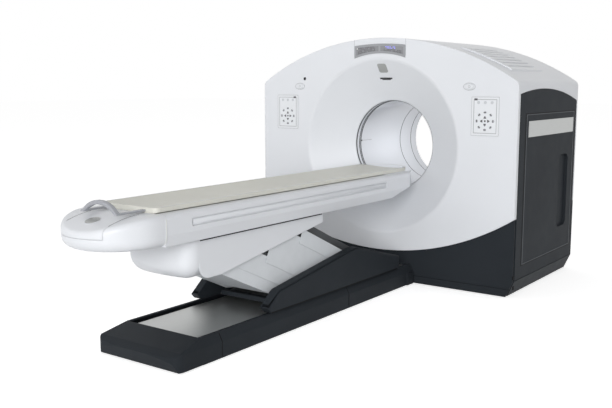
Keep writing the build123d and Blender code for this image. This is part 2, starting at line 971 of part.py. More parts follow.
def base_frame():
    """Floor plate, rail beams and the ribs that carry the top plate."""
    y_span = (ahead(top_plate_reach), base_back)
    half = base_half - base_wall
    frame = slab((-half, half), y_span, (0, base_floor_thickness))
    beam_x = (rail_centre - rail_beam_width / 2, rail_centre + rail_beam_width / 2)
    frame += both_sides(slab(beam_x, y_span, (base_floor_thickness, rail_base)))
    rib_top = top_plate_height - top_plate_thickness
    pitch = (y_span[1] - y_span[0] - rib_thickness) / (rib_count - 1)
    rib_half = rail_centre - rail_beam_width / 2
    for number in range(rib_count):
        y_low = y_span[0] + number * pitch
        rib = slab((-rib_half, rib_half), (y_low, y_low + rib_thickness), (base_floor_thickness, rail_base))
        rib += slab(
            (-top_plate_width / 2 + rail_beam_width, top_plate_width / 2 - rail_beam_width),
            (y_low, y_low + rib_thickness),
            (rail_base, rib_top),
        )
        frame += rib
    centre = ahead(base_anchor_reach)
    for spot in GridLocations(base_anchor_spacing_x, base_anchor_spacing_y, 2, 2):
        hole = Pos(0, centre) * spot * Circle(base_anchor_diameter / 2)
        frame -= plan_prism(hole, -overrun, base_floor_thickness + overrun)
    return frame


def base_cover_section():
    """Front view of the right-hand base cover, with its sloped shoulder."""
    outer = base_half
    top_outer = outer - base_shoulder_width
    top_inner = top_outer - base_lip
    return outline(
        (outer, floor_gap),
        (outer, base_shoulder_height),
        (top_outer, base_height),
        (top_inner, base_height),
        (top_inner, base_height - base_wall),
        (top_outer - base_wall / 2, base_height - base_wall),
        (outer - base_wall, base_shoulder_height - base_wall / 2),
        (outer - base_wall, floor_gap),
    )


def base_side_cover():
    """The right-hand cover along the base, with the joint line near its rear."""
    cover = front_prism(base_cover_section(), ahead(cap_reach) + seam, base_back)
    cut = slab(
        (base_half - groove_depth / 2, base_half + overrun),
        (ahead(cover_split_reach), ahead(cover_split_reach) + groove_width),
        (0, base_height + overrun),
    )
    post_y = ahead(dock_post_reach + dock_post_length)
    for step in (0, dock_post_length + dock_post_gap):
        post = slab(
            (base_half - base_wall, base_half + dock_post_proud),
            (post_y + step, post_y + step + dock_post_length),
            (floor_gap, dock_post_height - step / 2),
        )
        cover += post & slab((base_half - base_wall, base_width), (post_y, base_back), (0, base_shoulder_height))
    return cover - cut


def cap_plan(inset):
    """Plan of the base's front end, drawn in by inset."""
    half = base_half - inset
    corner_y = ahead(base_reach - base_bulge) + inset
    tip = ahead(base_reach) + inset
    back = ahead(cap_reach)
    bulge = ThreePointArc((-half, corner_y), (0, tip), (half, corner_y))
    rest = Polyline(bulge @ 1, (half, back), (-half, back), bulge @ 0)
    face = make_face((bulge + rest).edges())
    corners = face.vertices().group_by(Axis.Y)[0]
    return fillet(corners, base_corner - inset)


def cap_side(inset):
    """Side view of the base's front end: it leans out to a brow, then slopes up to the top plate."""
    back = ahead(cap_reach) + overrun
    return outline(
        (back, 0),
        (ahead(base_reach - cap_lean) + inset, 0),
        (ahead(base_reach) + inset, cap_brow_height),
        (ahead(base_reach - cap_brow_run) + inset, cap_brow_top - inset),
        (ahead(top_plate_reach), base_height - inset),
        (back, base_height - inset),
    )


def cap_front(inset):
    """Front view of the base's front end, whose shoulders slope as the side covers do."""
    slope = (base_height - base_shoulder_height) / base_shoulder_width
    wide = base_half - inset + overrun
    eaves = base_shoulder_height - inset / 2 - overrun * slope
    top_half = base_half - base_shoulder_width - inset / 2
    high = base_height - inset
    return outline((-wide, 0), (wide, 0), (wide, eaves), (top_half, high), (-top_half, high), (-wide, eaves))


def cap_body(inset, low):
    """The base's front end as a solid above a height low, drawn in by inset."""
    body = plan_prism(cap_plan(inset), low, base_height - inset)
    body &= side_prism(cap_side(inset), -base_width, base_width)
    return body & front_prism(cap_front(inset), ahead(base_reach) - overrun, ahead(cap_reach) + overrun)


def base_end_cap():
    """The sloped front end of the base, open above for the top plate."""
    back = ahead(cap_reach)
    half = base_half - base_shoulder_width - base_lip
    window = slab((-half, half), (ahead(top_plate_reach) - seam, back + overrun), (0, base_height + overrun))
    return cap_body(0, floor_gap) - cap_body(base_wall, 0) - window


def base_top_plate():
    half = top_plate_width / 2
    y_span = (ahead(top_plate_reach), base_back)
    return slab((-half, half), y_span, (top_plate_height - top_plate_thickness, top_plate_height))


def carriage_rails():
    x_span = (rail_centre - rail_width / 2, rail_centre + rail_width / 2)
    y_span = (ahead(top_plate_reach), base_back)
    return both_sides(slab(x_span, y_span, (rail_base, rail_height)))


# Carriage and lift


def along_arm(pivot, run, across):
    """Side-view point at a run up the arm from a pivot, and a step across the arm."""
    y = pivot[0] - run * cos(arm_tilt) + across * sin(arm_tilt)
    z = pivot[1] + run * sin(arm_tilt) + across * cos(arm_tilt)
    return (y, z)


def slat_pivot(number):
    """Side-view place of a slat's pin on the carriage."""
    return (ahead(wedge_rear_reach + slat_place_shares[number] * slat_span), slat_pivot_height)


def slat_layer(number):
    """Span in X of a slat, each one lying outside the one in front of it."""
    low = slat_first_inner + number * slat_pitch
    return (low, low + slat_thickness)


lower_pivot = (ahead(lower_pivot_reach), lower_pivot_height)
upper_pivot = (ahead(upper_pivot_reach), upper_pivot_height)


def cheek_face():
    """Side view of the carriage cheek, which carries the arms and the slat pins."""
    lower_top = lower_pivot_height + cheek_pad
    upper_top = upper_pivot_height + cheek_pad
    return outline(
        (ahead(cheek_front_reach), deck_height),
        (ahead(cheek_front_reach), cheek_front_height),
        (ahead(lower_pivot_reach + cheek_pad), lower_top),
        (ahead(upper_pivot_reach + cheek_pad), upper_top),
        (ahead(upper_pivot_reach - cheek_pad), upper_top),
        (ahead(cheek_rear_reach), cheek_front_height),
        (ahead(cheek_rear_reach), deck_height),
    )


def carriage_frame():
    """Deck with runner blocks, and cheeks with the slat pins."""
    deck_low = deck_height - deck_thickness
    y_span = (ahead(deck_front_reach), ahead(deck_rear_reach))
    frame = slab((-wedge_inner, wedge_inner), y_span, (deck_low, deck_height))
    runner_x = (rail_centre - runner_width / 2, rail_centre + runner_width / 2)
    starts = (y_span[0] + runner_end_margin, y_span[1] - runner_end_margin - runner_length)
    for start in starts:
        block = slab(runner_x, (start, start + runner_length), (rail_height + running_gap, deck_low))
        frame += both_sides(block & slab((0, wedge_inner), y_span, (0, deck_height)))
    cheek_outer = cheek_inner + cheek_thickness
    cheek = side_prism(cheek_face(), cheek_inner, cheek_outer)
    for pivot in (lower_pivot, upper_pivot):
        cheek -= x_rod(pivot, shaft_radius + running_gap, cheek_inner - overrun, cheek_outer + overrun)
    for number in range(len(slat_place_shares)):
        cheek += x_rod(slat_pivot(number), slat_pin_radius, cheek_outer, slat_layer(number)[1])
    return frame + both_sides(cheek)


def wedge_face(inset):
    """Side view of the carriage's wedge cover, drawn in by inset."""
    nose = ahead(wedge_front_reach) + inset
    face = outline(
        (nose + wedge_nose_length / 3, wedge_bottom - inset),
        (nose, wedge_nose_low + inset),
        (nose + wedge_nose_length, wedge_nose_height - inset),
        (ahead(wedge_peak_reach), wedge_peak_height - inset),
        (ahead(wedge_rear_reach) - inset, wedge_tail_height - inset),
        (ahead(wedge_rear_reach) - inset, wedge_bottom - inset),
    )
    peak = face.vertices().sort_by(Axis.Y)[-1]
    face = fillet(peak, wedge_peak_round)
    brow = face.vertices().sort_by_distance((nose + wedge_nose_length, wedge_nose_height - inset, 0))[0]
    return fillet(brow, wedge_nose_round - inset)


def wedge_cover():
    """The dark right-hand wedge cover of the carriage, hollow and open below."""
    outer = side_prism(wedge_face(0), wedge_inner, base_half)
    crest = outer.faces().sort_by(Axis.X)[-1].edges()
    crest = [edge for edge in crest if (edge @ 0.5).Z > wedge_nose_low]
    outer = fillet(crest, wedge_edge_round)
    hollow = side_prism(wedge_face(wedge_wall), wedge_inner + wedge_wall, base_half - wedge_wall)
    return outer - (hollow & slab((0, base_half), (ahead(wedge_front_reach), front_y), (0, gantry_height)))


def cross_cover():
    """The dark bar on the deck's front edge, under the shroud."""
    y_span = (ahead(cross_cover_reach), ahead(cross_cover_reach) + cross_cover_depth)
    half = cross_cover_width / 2
    bar = slab((-half, half), y_span, (deck_height, cross_cover_top))
    tongue = slab(
        (-cheek_inner, cheek_inner),
        (y_span[1], ahead(deck_front_reach) + cross_cover_depth),
        (deck_height, deck_height + deck_thickness),
    )
    return bar + tongue


def lift_arm(pivot, inner):
    """A pair of arm plates on two cross shafts, tied at mid length."""
    middle = along_arm(pivot, arm_length / 2, 0)
    bar = Pos(*middle) * Rot(0, 0, -arm_angle) * SlotCenterToCenter(arm_length, arm_depth)
    arm = both_sides(side_prism(bar, inner, inner + arm_plate))
    reach = cheek_inner + cheek_thickness
    for run in (0, arm_length):
        arm += x_rod(along_arm(pivot, run, 0), shaft_radius, -reach, reach)
    return arm + x_rod(along_arm(pivot, tie_share * arm_length, 0), tie_radius, -inner, inner)


def lift_gear_motor():
    """Gearbox round the lower arm's base shaft, with its motor along the deck."""
    y, z = lower_pivot
    y_span = (y - gearbox_length / 2, y + gearbox_length / 2)
    box = slab((-gearbox_width / 2, gearbox_width / 2), y_span, (deck_height, deck_height + gearbox_height))
    box -= x_rod(lower_pivot, shaft_radius + running_gap, -gearbox_width, gearbox_width)
    motor = Pos(0, deck_height + gearbox_height / 2) * Circle(motor_radius)
    return box + front_prism(motor, y_span[1], y_span[1] + motor_length)


def slat_face(number):
    """Side view of a slat: a round-pinned foot that widens to a long flat strip."""
    pivot = slat_pivot(number)
    half = slat_half_width_shares[number] * shroud_width
    drop = slat_pivot_height - deck_height - slat_floor_clearance
    widen = max(slat_end, (half * cos(arm_low_tilt) - drop) / sin(arm_low_tilt))
    corners = (
        (-slat_end, -slat_end),
        (0, -slat_end),
        (widen, -half),
        (slat_length, -half),
        (slat_length, half),
        (half, half),
        (0, slat_end),
        (-slat_end, slat_end),
    )
    face = outline(*[along_arm(pivot, run, across) for run, across in corners])
    return face - Pos(*pivot) * Circle(slat_pin_radius + running_gap)


def shroud_slat(number):
    """A pair of slats, one on each side of the lift."""
    return both_sides(side_prism(slat_face(number), *slat_layer(number)))


def shroud_front():
    """The front pair of slats, joined across by the apron that closes the shroud's front."""
    pivot = slat_pivot(0)
    half = slat_half_width_shares[0] * shroud_width
    strip = outline(
        along_arm(pivot, apron_start, -half),
        along_arm(pivot, slat_length, -half),
        along_arm(pivot, slat_length, slat_thickness - half),
        along_arm(pivot, apron_start, slat_thickness - half),
    )
    reach = slat_layer(0)[1]
    return shroud_slat(0) + side_prism(strip, -reach, reach)


# Table top


lower_top_pivot = along_arm(lower_pivot, arm_length, 0)
upper_top_pivot = along_arm(upper_pivot, arm_length, 0)


def frame_ear_face(pivot):
    """Side view of the lug that hangs from the table frame round an arm's upper shaft."""
    y, z = pivot
    bottom = z - frame_ear
    return Pos(y, (bottom + frame_top) / 2) * Rectangle(2 * frame_ear, frame_top - bottom)


def table_frame():
    """Inverted channel that carries the table top, with lugs for the arms and bars for the hull."""
    y_span = (ahead(frame_front_reach), ahead(frame_rear_reach))
    inner = frame_outer - frame_wall
    frame = slab((-frame_outer, frame_outer), y_span, (frame_low, frame_top))
    frame -= slab((-inner, inner), (y_span[0] - overrun, y_span[1] + overrun), (0, frame_top - frame_wall))
    for pivot in (lower_top_pivot, upper_top_pivot):
        frame += both_sides(side_prism(frame_ear_face(pivot), inner, frame_outer))
    for pivot in (lower_top_pivot, upper_top_pivot):
        frame -= x_rod(pivot, shaft_radius + running_gap, -table_width, table_width)
    reach = table_half - table_wall
    pitch = (y_span[1] - y_span[0] - frame_tab_length) / (frame_tab_count - 1)
    for number in range(frame_tab_count):
        y_low = y_span[0] + number * pitch
        frame += slab((-reach, reach), (y_low, y_low + frame_tab_length), (frame_top - frame_wall, frame_top))
    reach = hull_width / 2 - hull_wall
    bar_z = (hull_top - hull_bar_size / 2, frame_low)
    bar_y = ahead(hull_bar_front_reach)
    frame += slab((-reach, reach), (bar_y, bar_y + hull_bar_size), bar_z)
    foot_y = ahead(hull_rear_reach) - hull_bar_size
    bracket_z = (bar_z[0], frame_low + frame_wall)
    return frame + both_sides(slab((inner, reach), (foot_y, foot_y + hull_bar_size), bracket_z))


def head_cut():
    """All that lies below the sloped underside of the table's head end, or beyond its tapered tip."""
    under = outline(
        (ahead(table_head_low_reach), table_low),
        (ahead(table_head_reach) + overrun, table_head_tip_height),
        (ahead(table_head_reach) + overrun, 0),
        (ahead(table_head_low_reach), 0),
    )
    return side_prism(under, -table_width, table_width)


def head_plan():
    """Plan of the table top, with the tapered head end."""
    taper_y = ahead(table_head_reach) - table_head_taper
    tip = table_head_tip_width / 2
    foot = ahead(table_foot_reach) + seam
    return outline(
        (table_half, foot),
        (table_half, taper_y),
        (tip, ahead(table_head_reach)),
        (-tip, ahead(table_head_reach)),
        (-table_half, taper_y),
        (-table_half, foot),
    )


def table_side_section():
    """Front view of the right-hand side cover of the table, tucked in at its foot."""
    inner = table_half - table_wall
    lip = table_top_opening / 2
    tuck_high = table_low + table_tuck_height
    face = outline(
        (table_half - table_tuck, table_low),
        (table_half, tuck_high),
        (table_half, table_high),
        (lip, table_high),
        (lip, table_high - table_wall),
        (inner, table_high - table_wall),
        (inner, tuck_high),
        (inner - table_tuck, table_low),
    )
    corner = face.vertices().sort_by_distance((table_half, table_high, 0))[0]
    face = fillet(corner, table_top_round)
    hollow = face.vertices().sort_by_distance((inner, table_high - table_wall, 0))[0]
    return fillet(hollow, table_top_round - table_wall)


def table_flange_face():
    """Front view of the flange that closes the side cover's foot end."""
    high = table_high - table_top_round
    return outline(
        (table_flange_inner, table_low),
        (table_half - table_tuck, table_low),
        (table_half, table_low + table_tuck_height),
        (table_half, high),
        (table_flange_inner, high),
    )


def table_side_cover():
    """The white right-hand cover along the table, with its long rail groove."""
    foot = ahead(table_foot_reach) + seam
    cover = front_prism(table_side_section(), foot, ahead(table_head_reach))
    cover += front_prism(table_flange_face(), foot, foot + table_wall)
    cover &= plan_prism(head_plan(), 0, gantry_height)
    cover -= head_cut()
    groove = slab(
        (table_half - table_groove_depth, table_half + overrun),
        (ahead(table_groove_front_reach), ahead(table_groove_rear_reach)),
        (table_groove_low, table_groove_high),
    )
    return cover - groove


def table_head_cover():
    """The sloped underside of the table's head end, between the side covers."""
    reach = table_half - table_wall
    y_low = ahead(table_head_low_reach)
    y_high = ahead(table_head_reach)
    shape = outline(
        (y_low, table_low),
        (y_high + overrun, table_head_tip_height),
        (y_high + overrun, table_head_tip_height + table_wall),
        (y_low, table_low + table_wall),
    )
    plate = side_prism(shape, -reach, reach)
    plan = head_plan() & Pos(0, ahead(table_head_low_reach)) * Rectangle(2 * reach, table_foot_reach)
    inner_taper = plan_prism(plan, 0, gantry_height)
    pieces_left = (plate & inner_taper) - both_sides(table_side_cover())
    return pieces_left.solids().sort_by(SortBy.VOLUME)[-1]


def nose_crown(inset):
    """Side view of the nose, whose top bows down to its tip, drawn in by inset."""
    back = ahead(table_foot_reach) + overrun
    start = (ahead(nose_crown_reach), table_high - inset)
    end = (ahead(nose_reach), nose_tip_height - inset)
    crown = TangentArc(start, end, tangent=(-1, 0))
    rest = Polyline(end, (end[0] - overrun, end[1]), (end[0] - overrun, 0), (back, 0), (back, start[1]), start)
    return make_face((crown + rest).edges())


def nose_body(inset):
    """The rounded foot end of the table, drawn in by inset."""
    half = table_half - inset
    tip = ahead(nose_reach) + inset
    back = ahead(table_foot_reach) + (overrun if inset else 0)
    centre = tip + half
    bow = ThreePointArc((-half, centre), (0, tip), (half, centre))
    rest = Polyline(bow @ 1, (half, back), (-half, back), bow @ 0)
    face = make_face((bow + rest).edges())
    body = plan_prism(face, table_low + inset, table_high)
    body &= side_prism(nose_crown(inset), -table_width, table_width)
    low = [edge for edge in body.edges().group_by(Axis.Z)[0] if (edge @ 0.5).Y < back - seam]
    body = fillet(low, nose_bottom_round - inset)
    rim = [edge for edge in body.edges() if on_nose_rim(edge, half, centre, back)]
    return fillet(rim, nose_top_round - inset)


def on_nose_rim(edge, half, centre, back):
    """True for an edge of the nose's top that lies on its outer wall."""
    middle = edge @ 0.5
    if middle.Z < nose_tip_height - nose_top_round or middle.Y > back - seam:
        return False
    out = abs(middle.X) if middle.Y > centre else hypot(middle.X, middle.Y - centre)
    return out > half - seam and abs((edge % 0.5).Z) < 0.5


def nose_panel_block(growth):
    """The band over the nose that its top panel fills."""
    half = nose_panel_width / 2 + growth
    y_span = (ahead(nose_reach) - overrun, ahead(table_foot_reach) + overrun)
    return slab((-half, half), y_span, (nose_panel_low - growth, table_high + overrun))


def nose_cover():
    return nose_body(0) - nose_body(nose_wall) - nose_panel_block(seam)


def nose_top_panel():
    """The lid over the nose, with a blank round inlay."""
    lid = (nose_body(0) - nose_body(nose_wall)) & nose_panel_block(0)
    run = nose_reach - nose_crown_reach
    drop = table_high - nose_tip_height
    radius = (run**2 + drop**2) / (2 * drop)
    lean = asin((inlay_reach - nose_crown_reach) / radius)
    centre_z = table_high - radius
    normal = (0, -sin(lean), cos(lean))
    place = Plane((0, ahead(inlay_reach), centre_z + radius * cos(lean)), x_dir=(1, 0, 0), z_dir=normal)
    inlay = extrude(place * Circle(inlay_diameter / 2), inlay_rise)
    return lid + inlay + extrude(place * Circle(inlay_diameter / 2), -nose_wall / 2)


def hull_flank_face():
    """Side view of the hull's flank, which rises towards its stern."""
    front = ahead(hull_flank_reach)
    rear = ahead(hull_rear_reach)
    face = outline(
        (front, hull_top),
        (front, hull_low),
        (ahead(hull_low_reach), hull_low),
        (rear, hull_top - hull_rear_drop),
        (rear, hull_top),
    )
    forefoot = face.vertices().sort_by_distance((front, hull_low, 0))[0]
    return fillet(forefoot, hull_flank_corner)


def hull_plan(inset):
    """Plan of the hull, with its bowed front and rounded corners."""
    half = hull_width / 2 - inset
    tip = ahead(hull_front_reach) + inset
    shoulder = ahead(hull_front_reach - hull_bow_length) + inset
    rear = ahead(hull_rear_reach)
    bow = ThreePointArc((-half, shoulder), (0, tip), (half, shoulder))
    rest = Polyline(bow @ 1, (half, rear), (-half, rear), bow @ 0)
    face = make_face((bow + rest).edges())
    corners = [face.vertices().sort_by_distance((side * half, shoulder, 0))[0] for side in (-1, 1)]
    return fillet(corners, hull_corner - inset)


def hull_body(inset, top):
    """The form of the hull's bow up to a height top, drawn in by inset."""
    rear = ahead(hull_rear_reach)
    form = plan_prism(hull_plan(inset), hull_low + inset, top)
    keel = [edge for edge in form.edges().group_by(Axis.Z)[0] if (edge @ 0.5).Y < rear - seam]
    return fillet(keel, hull_bow_round - inset)


def underbody_hull():
    """The white hull under the table: a rounded bow and two flanks, open above and behind for the lift."""
    half = hull_width / 2
    bow = hull_body(0, hull_top) - hull_body(hull_wall, hull_top + overrun)
    opening_y = (ahead(hull_opening_reach), ahead(hull_rear_reach) + overrun)
    bow -= slab((-hull_width, hull_width), opening_y, (0, hull_top + overrun))
    return bow + both_sides(side_prism(hull_flank_face(), half - hull_wall, half))


def cradle_section():
    """Front view of the cradle before its top is hollowed, wider than its plan."""
    half = cradle_width / 2
    low = cradle_top - cradle_thickness - cradle_dip
    radius = (half**2 + cradle_dip**2) / (2 * cradle_dip)
    block = Pos(0, cradle_top / 2) * Rectangle(cradle_width + 2 * overrun, cradle_top)
    return block & Pos(0, low + radius) * Circle(radius)


def cradle_hollow():
    """Front view of the shallow trough in the cradle's top, between its flat rims."""
    half = cradle_width / 2 - cradle_rim
    trough = ThreePointArc((-half, cradle_top), (0, cradle_top - cradle_dip), (half, cradle_top))
    above = cradle_top + overrun
    rest = Polyline(trough @ 1, (half, above), (-half, above), trough @ 0)
    return make_face((trough + rest).edges())


def cradle_plan():
    """Plan of the cradle, with a round head end."""
    half = cradle_width / 2
    tip = ahead(cradle_head_reach)
    foot = ahead(cradle_foot_reach)
    head = ThreePointArc((half, tip - half), (0, tip), (-half, tip - half))
    rest = Polyline(head @ 1, (-half, foot), (half, foot), head @ 0)
    face = make_face((head + rest).edges())
    return fillet(face.vertices().group_by(Axis.Y)[0], cradle_foot_corner)


def cradle():
    """The sliding couch board, a trough that a low wall closes at the foot, on two runners."""
    foot = ahead(cradle_foot_reach)
    head = ahead(cradle_head_reach)
    body = front_prism(cradle_section(), foot, head) & plan_prism(cradle_plan(), 0, gantry_height)
    body -= front_prism(cradle_hollow(), foot + cradle_foot_wall, head + overrun)
    runner_x = (cradle_rail_centre - cradle_rail_width / 2, cradle_rail_centre + cradle_rail_width / 2)
    y_span = (foot + cradle_foot_corner, ahead(frame_rear_reach))
    runner_z = (cradle_rail_height + running_gap, cradle_top - cradle_dip)
    return body + both_sides(slab(runner_x, y_span, runner_z))


def cradle_rails():
    runner_x = (cradle_rail_centre - cradle_rail_width / 2, cradle_rail_centre + cradle_rail_width / 2)
    y_span = (ahead(frame_front_reach), ahead(frame_rear_reach))
    return both_sides(slab(runner_x, y_span, (frame_top, cradle_rail_height)))


def cradle_drive():
    """Belt track on the table frame; the motor stands below its foot end."""
    y_span = (ahead(frame_front_reach), ahead(frame_rear_reach))
    track = slab((-drive_belt_width / 2, drive_belt_width / 2), y_span, (frame_top, drive_belt_height))
    under = frame_top - frame_wall
    middle = Pos(0, under - cradle_motor_radius) * Circle(cradle_motor_radius)
    y_low = ahead(cradle_motor_reach)
    return [track, front_prism(middle, y_low, y_low + cradle_motor_length)]


def handle_arch(inset):
    """Front view of the space under an arch of the handle, drawn in by inset."""
    half = handle_width / 2 - inset
    arch = ThreePointArc((-half, handle_low), (0, handle_high - inset), (half, handle_low))
    return make_face((arch + Line(arch @ 1, arch @ 0)).edges())


def cradle_handle():
    """The arched pull band at the cradle's foot end, on two straps."""
    foot = ahead(cradle_foot_reach)
    y_low = ahead(handle_reach) - handle_depth / 2
    hoop = front_prism(handle_arch(0) - handle_arch(handle_band), y_low, y_low + handle_depth)
    half = handle_width / 2
    strap = slab((half - handle_band, half), (y_low, foot), (handle_low, handle_low + handle_strap))
    arched = [edge for edge in hoop.edges() if edge.geom_type == GeomType.CIRCLE]
    return fillet(arched, handle_round) + both_sides(strap)


# The pieces, each under the name of its file

middle_y = front_y + liner_front_end
rear_liner_y = front_y + liner_middle_end
pieces = {
    "gantry_base_plate": gantry_base_plate(),
    "cover_frame": cover_frame(),
    "front_cover": front_cover(),
    "front_lower_panel": front_lower_panel(),
    "roof_cover": roof_cover(),
    "rear_cover": rear_cover(),
    "rear_lower_panel": rear_lower_panel(),
    "side_cover_right": side_cover(),
    "side_cover_left": mirror(side_cover(), Plane.YZ),
    "side_doors": both_sides(side_door()),
    "door_strip": door_strip(),
    "display_bezel": display_bezel(),
    "display_screens": display_wells(running_gap),
    "control_panels": both_sides(control_panel()),
    "control_keys": both_sides(control_keys()),
    "stop_button_right": stop_button(),
    "stop_button_left": mirror(stop_button(), Plane.YZ),
    "optical_windows": Compound(children=optical_windows()),
    "bore_trim_ring": bore_trim_ring(),
    "bore_liner_front": bore_liner(front_y + funnel_depth + trim_ring_length, middle_y),
    "bore_liner_middle": bore_liner(middle_y, rear_liner_y),
    "bore_liner_rear": bore_liner(rear_liner_y, rear_y),
    "ct_stator_frame": ct_stator_frame(),
    "ct_main_bearing": ct_main_bearing(),
    "rotor_drive_stator": rotor_drive_stator(),
    "rotor_drum": rotor_drum(),
    "xray_tube": xray_tube(),
    "detector_arc": detector_arc(),
    "high_voltage_generator": rotor_box(-1, generator_depth),
    "heat_exchanger": rotor_box(1, exchanger_depth),
    "slip_ring": slip_ring(),
    "pet_ring_frame": pet_ring_frame(),
    "pet_detector_modules": pet_detector_modules(),
    "pet_end_shields": Compound(children=pet_end_shields()),
    "electronics_racks": electronics_racks(),
    "base_frame": base_frame(),
    "base_end_cap": base_end_cap(),
    "base_side_covers": both_sides(base_side_cover()),
    "base_top_plate": base_top_plate(),
    "carriage_rails": carriage_rails(),
    "carriage_frame": carriage_frame(),
    "wedge_covers": both_sides(wedge_cover()),
    "carriage_cross_cover": cross_cover(),
    "lift_gear_motor": lift_gear_motor(),
    "lift_arm_lower": lift_arm(lower_pivot, lower_arm_inner),
    "lift_arm_upper": lift_arm(upper_pivot, upper_arm_inner),
    "shroud_front": shroud_front(),
    "table_frame": table_frame(),
    "table_side_covers": both_sides(table_side_cover()),
    "table_head_cover": table_head_cover(),
    "nose_cover": nose_cover(),
    "nose_top_panel": nose_top_panel(),
    "underbody_hull": underbody_hull(),
    "cradle": cradle(),
    "cradle_handle": cradle_handle(),
    "cradle_rails": cradle_rails(),
    "cradle_drive": Compound(children=cradle_drive()),
}
for number in range(1, len(slat_place_shares)):
    pieces[f"shroud_slat_{number}"] = shroud_slat(number)

os.makedirs("parts", exist_ok=True)
for name, piece in pieces.items():
    export_step(piece, f"parts/{name}.step")
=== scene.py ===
from math import asin, cos, pi, radians, sin, sqrt

import bmesh
import bpy
from bpy.props import FloatProperty, FloatVectorProperty, IntProperty, PointerProperty
from mathutils import Matrix, Vector
from mathutils.bvhtree import BVHTree


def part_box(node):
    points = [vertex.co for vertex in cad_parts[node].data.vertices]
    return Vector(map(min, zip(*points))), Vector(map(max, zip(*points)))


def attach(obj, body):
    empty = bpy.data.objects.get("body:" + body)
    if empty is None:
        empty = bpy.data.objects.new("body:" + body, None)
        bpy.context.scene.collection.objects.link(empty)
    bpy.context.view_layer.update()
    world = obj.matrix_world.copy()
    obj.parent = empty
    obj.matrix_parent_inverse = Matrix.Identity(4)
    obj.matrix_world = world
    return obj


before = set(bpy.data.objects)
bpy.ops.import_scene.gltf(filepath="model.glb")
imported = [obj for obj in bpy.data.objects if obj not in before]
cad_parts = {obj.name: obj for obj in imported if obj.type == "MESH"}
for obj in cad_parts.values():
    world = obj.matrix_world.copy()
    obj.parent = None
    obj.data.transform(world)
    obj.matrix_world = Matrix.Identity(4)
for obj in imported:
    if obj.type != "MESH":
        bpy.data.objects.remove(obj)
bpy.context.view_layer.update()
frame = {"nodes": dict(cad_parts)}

bl_info = {
    "name": "Ring scanner and table",
    "version": (1, 0, 0),
    "blender": (4, 5, 0),
    "location": "View3D > Sidebar > Scanner",
    "description": "Finishes and fittings of an arched ring scanner with a lifting patient table",
    "category": "Object",
}

# Main places of the frame, in metres as all lengths are here
mouth_depth = 0.234
mouth_radius = 0.670
front_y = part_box("bore_trim_ring")[0].y - mouth_depth
bore_z = 1.044
bore_radius = 0.350
arch_radius = 2.040
roof_top = 1.872

# Thin lines and bars on a face
line_sink = 0.0005
line_rise = 0.0005
bar_sink = 0.001
mark_rise = 0.0004

# Blank plate and camera slot on the dish
badge_radius = 0.601
badge_sink = 0.002
badge_rise = 0.0035
badge_corner = 0.016
badge_round = 0.0021
slot_radius = 0.517
slot_half = (0.039, 0.0075)
slot_rise = 0.001
slot_corner = 0.00675

# Screen cells, with half a cell's size as a share of its pitch
screen_start = 0.010
screen_width = 0.196
screen_low_radius = 0.730
screen_top_margin = 0.063
screen_proud = 0.002
cell_rise = 0.0007
cell_round = 0.00056
cell_half_share = (0.36, 0.34)
lit_columns = range(3, 10)

# Key panels, with the inset and width of each frame line
key_centre_x = 0.879
key_centre_z = 1.2614
key_ring_radius = 0.062
key_ring_count = 8
key_bar_half = (0.004, 0.009)
key_proud = 0.003
arrow_reach = 0.025
arrow_radius = 0.013
hub_radius = 0.007
panel_proud = 0.0015
panel_half_width = 0.107
panel_lines = ((0.002, 0.0025), (0.018, 0.005))
window_offset = 0.072
window_z = 1.415
window_half = (0.012, 0.007)

# Stop buttons
stop_line_proud = 0.0025
stop_line_share = 1.42
stop_line_width = 0.003
stop_mark_radius = 0.009

# Painted shade round the side doors, standing for their gaps and recessed reveals, and rims painted lighter
# as highlights on the doors' bevelled edges; each as wide as given on the uprights and on the ends
door_shade_band = (0.020, 0.008)
door_rim = (0.014, 0.006)
rim_rise = 0.0015

# Corner catches, each at a depth behind the front and a height
catch_places = ((0.022, 0.075), (0.012, 0.150))
catch_half = (0.009, 0.014)
catch_sink = 0.004
catch_rise = 0.003
catch_round = 0.0015

# Joint lines of the front and the base, and the dark line at the wedge covers' foot, partly their parting
# line and partly painted shade under their edge
seam_x = 0.2265
seam_low = 1.735
seam_rise = 0.0004
seam_round = 0.0002
base_seam_y = front_y - 0.893
base_seam_z = (0.010, 0.142)
base_seam_half = 0.003
foot_margin = 0.035
foot_shade_height = 0.007

# Joint rings, a ring of painted shade in the trim ring's groove, laser windows and laser lines of the bore
ring_rise = 0.0014
trim_edge = 0.010
groove_shade_width = 0.008
liner_joints = {"bore_liner_front": 0.004, "bore_liner_middle": 0.0018, "bore_liner_rear": 0.0018}
laser_rise = 0.016
laser_depth = 0.315
laser_radius = 0.007
laser_thick = 0.0012
laser_round = 0.0004
laser_line_run = (0.012, 0.160)
laser_line_half = 0.0008
laser_line_sink = 0.001
laser_line_rise = 0.0006
laser_line_round = 0.0003

# Strip round the cradle's edge
edge_rise = 0.0016
edge_shoulder = 0.00096
edge_corner = 0.002
edge_inset = 0.002
edge_start = 0.034

# Nose, side grooves, joints of the table, and the painted shade on the hull under the side covers' lower
# edges
crown_y = front_y - 2.620
crown_radius = 0.7214
crown_top = 0.860
inlay_run = 0.188
inlay_rise = 0.002
inlay_thick = 0.0016
inlay_round = 0.001
groove_floor = 0.294
groove_y = (front_y - 2.384, front_y - 0.376)
groove_z = (0.786, 0.814)
strip_rise = 0.003
strip_round = 0.0024
hull_half = 0.250
hull_shade_y = (front_y - 2.284, front_y - 1.120)
hull_shade_z = (0.675, 0.684)
hull_shade_rise = 0.001
lid_half = 0.1603
lid_y = (front_y - 2.640, front_y - 2.845)
lid_line = 0.0011
bead_y = front_y - 2.5835
bead_z = (0.706, 0.842)
bead_half = 0.0028
bead_rise = 0.002

# Floor and camera
floor_size = 60.0
floor_drop = 0.0006
floor_glow = 0.63
camera_place = (3.3427, -6.058, 1.5263)
camera_angles = (81.769, 0.0, 35.99)


# Settings that a user would change


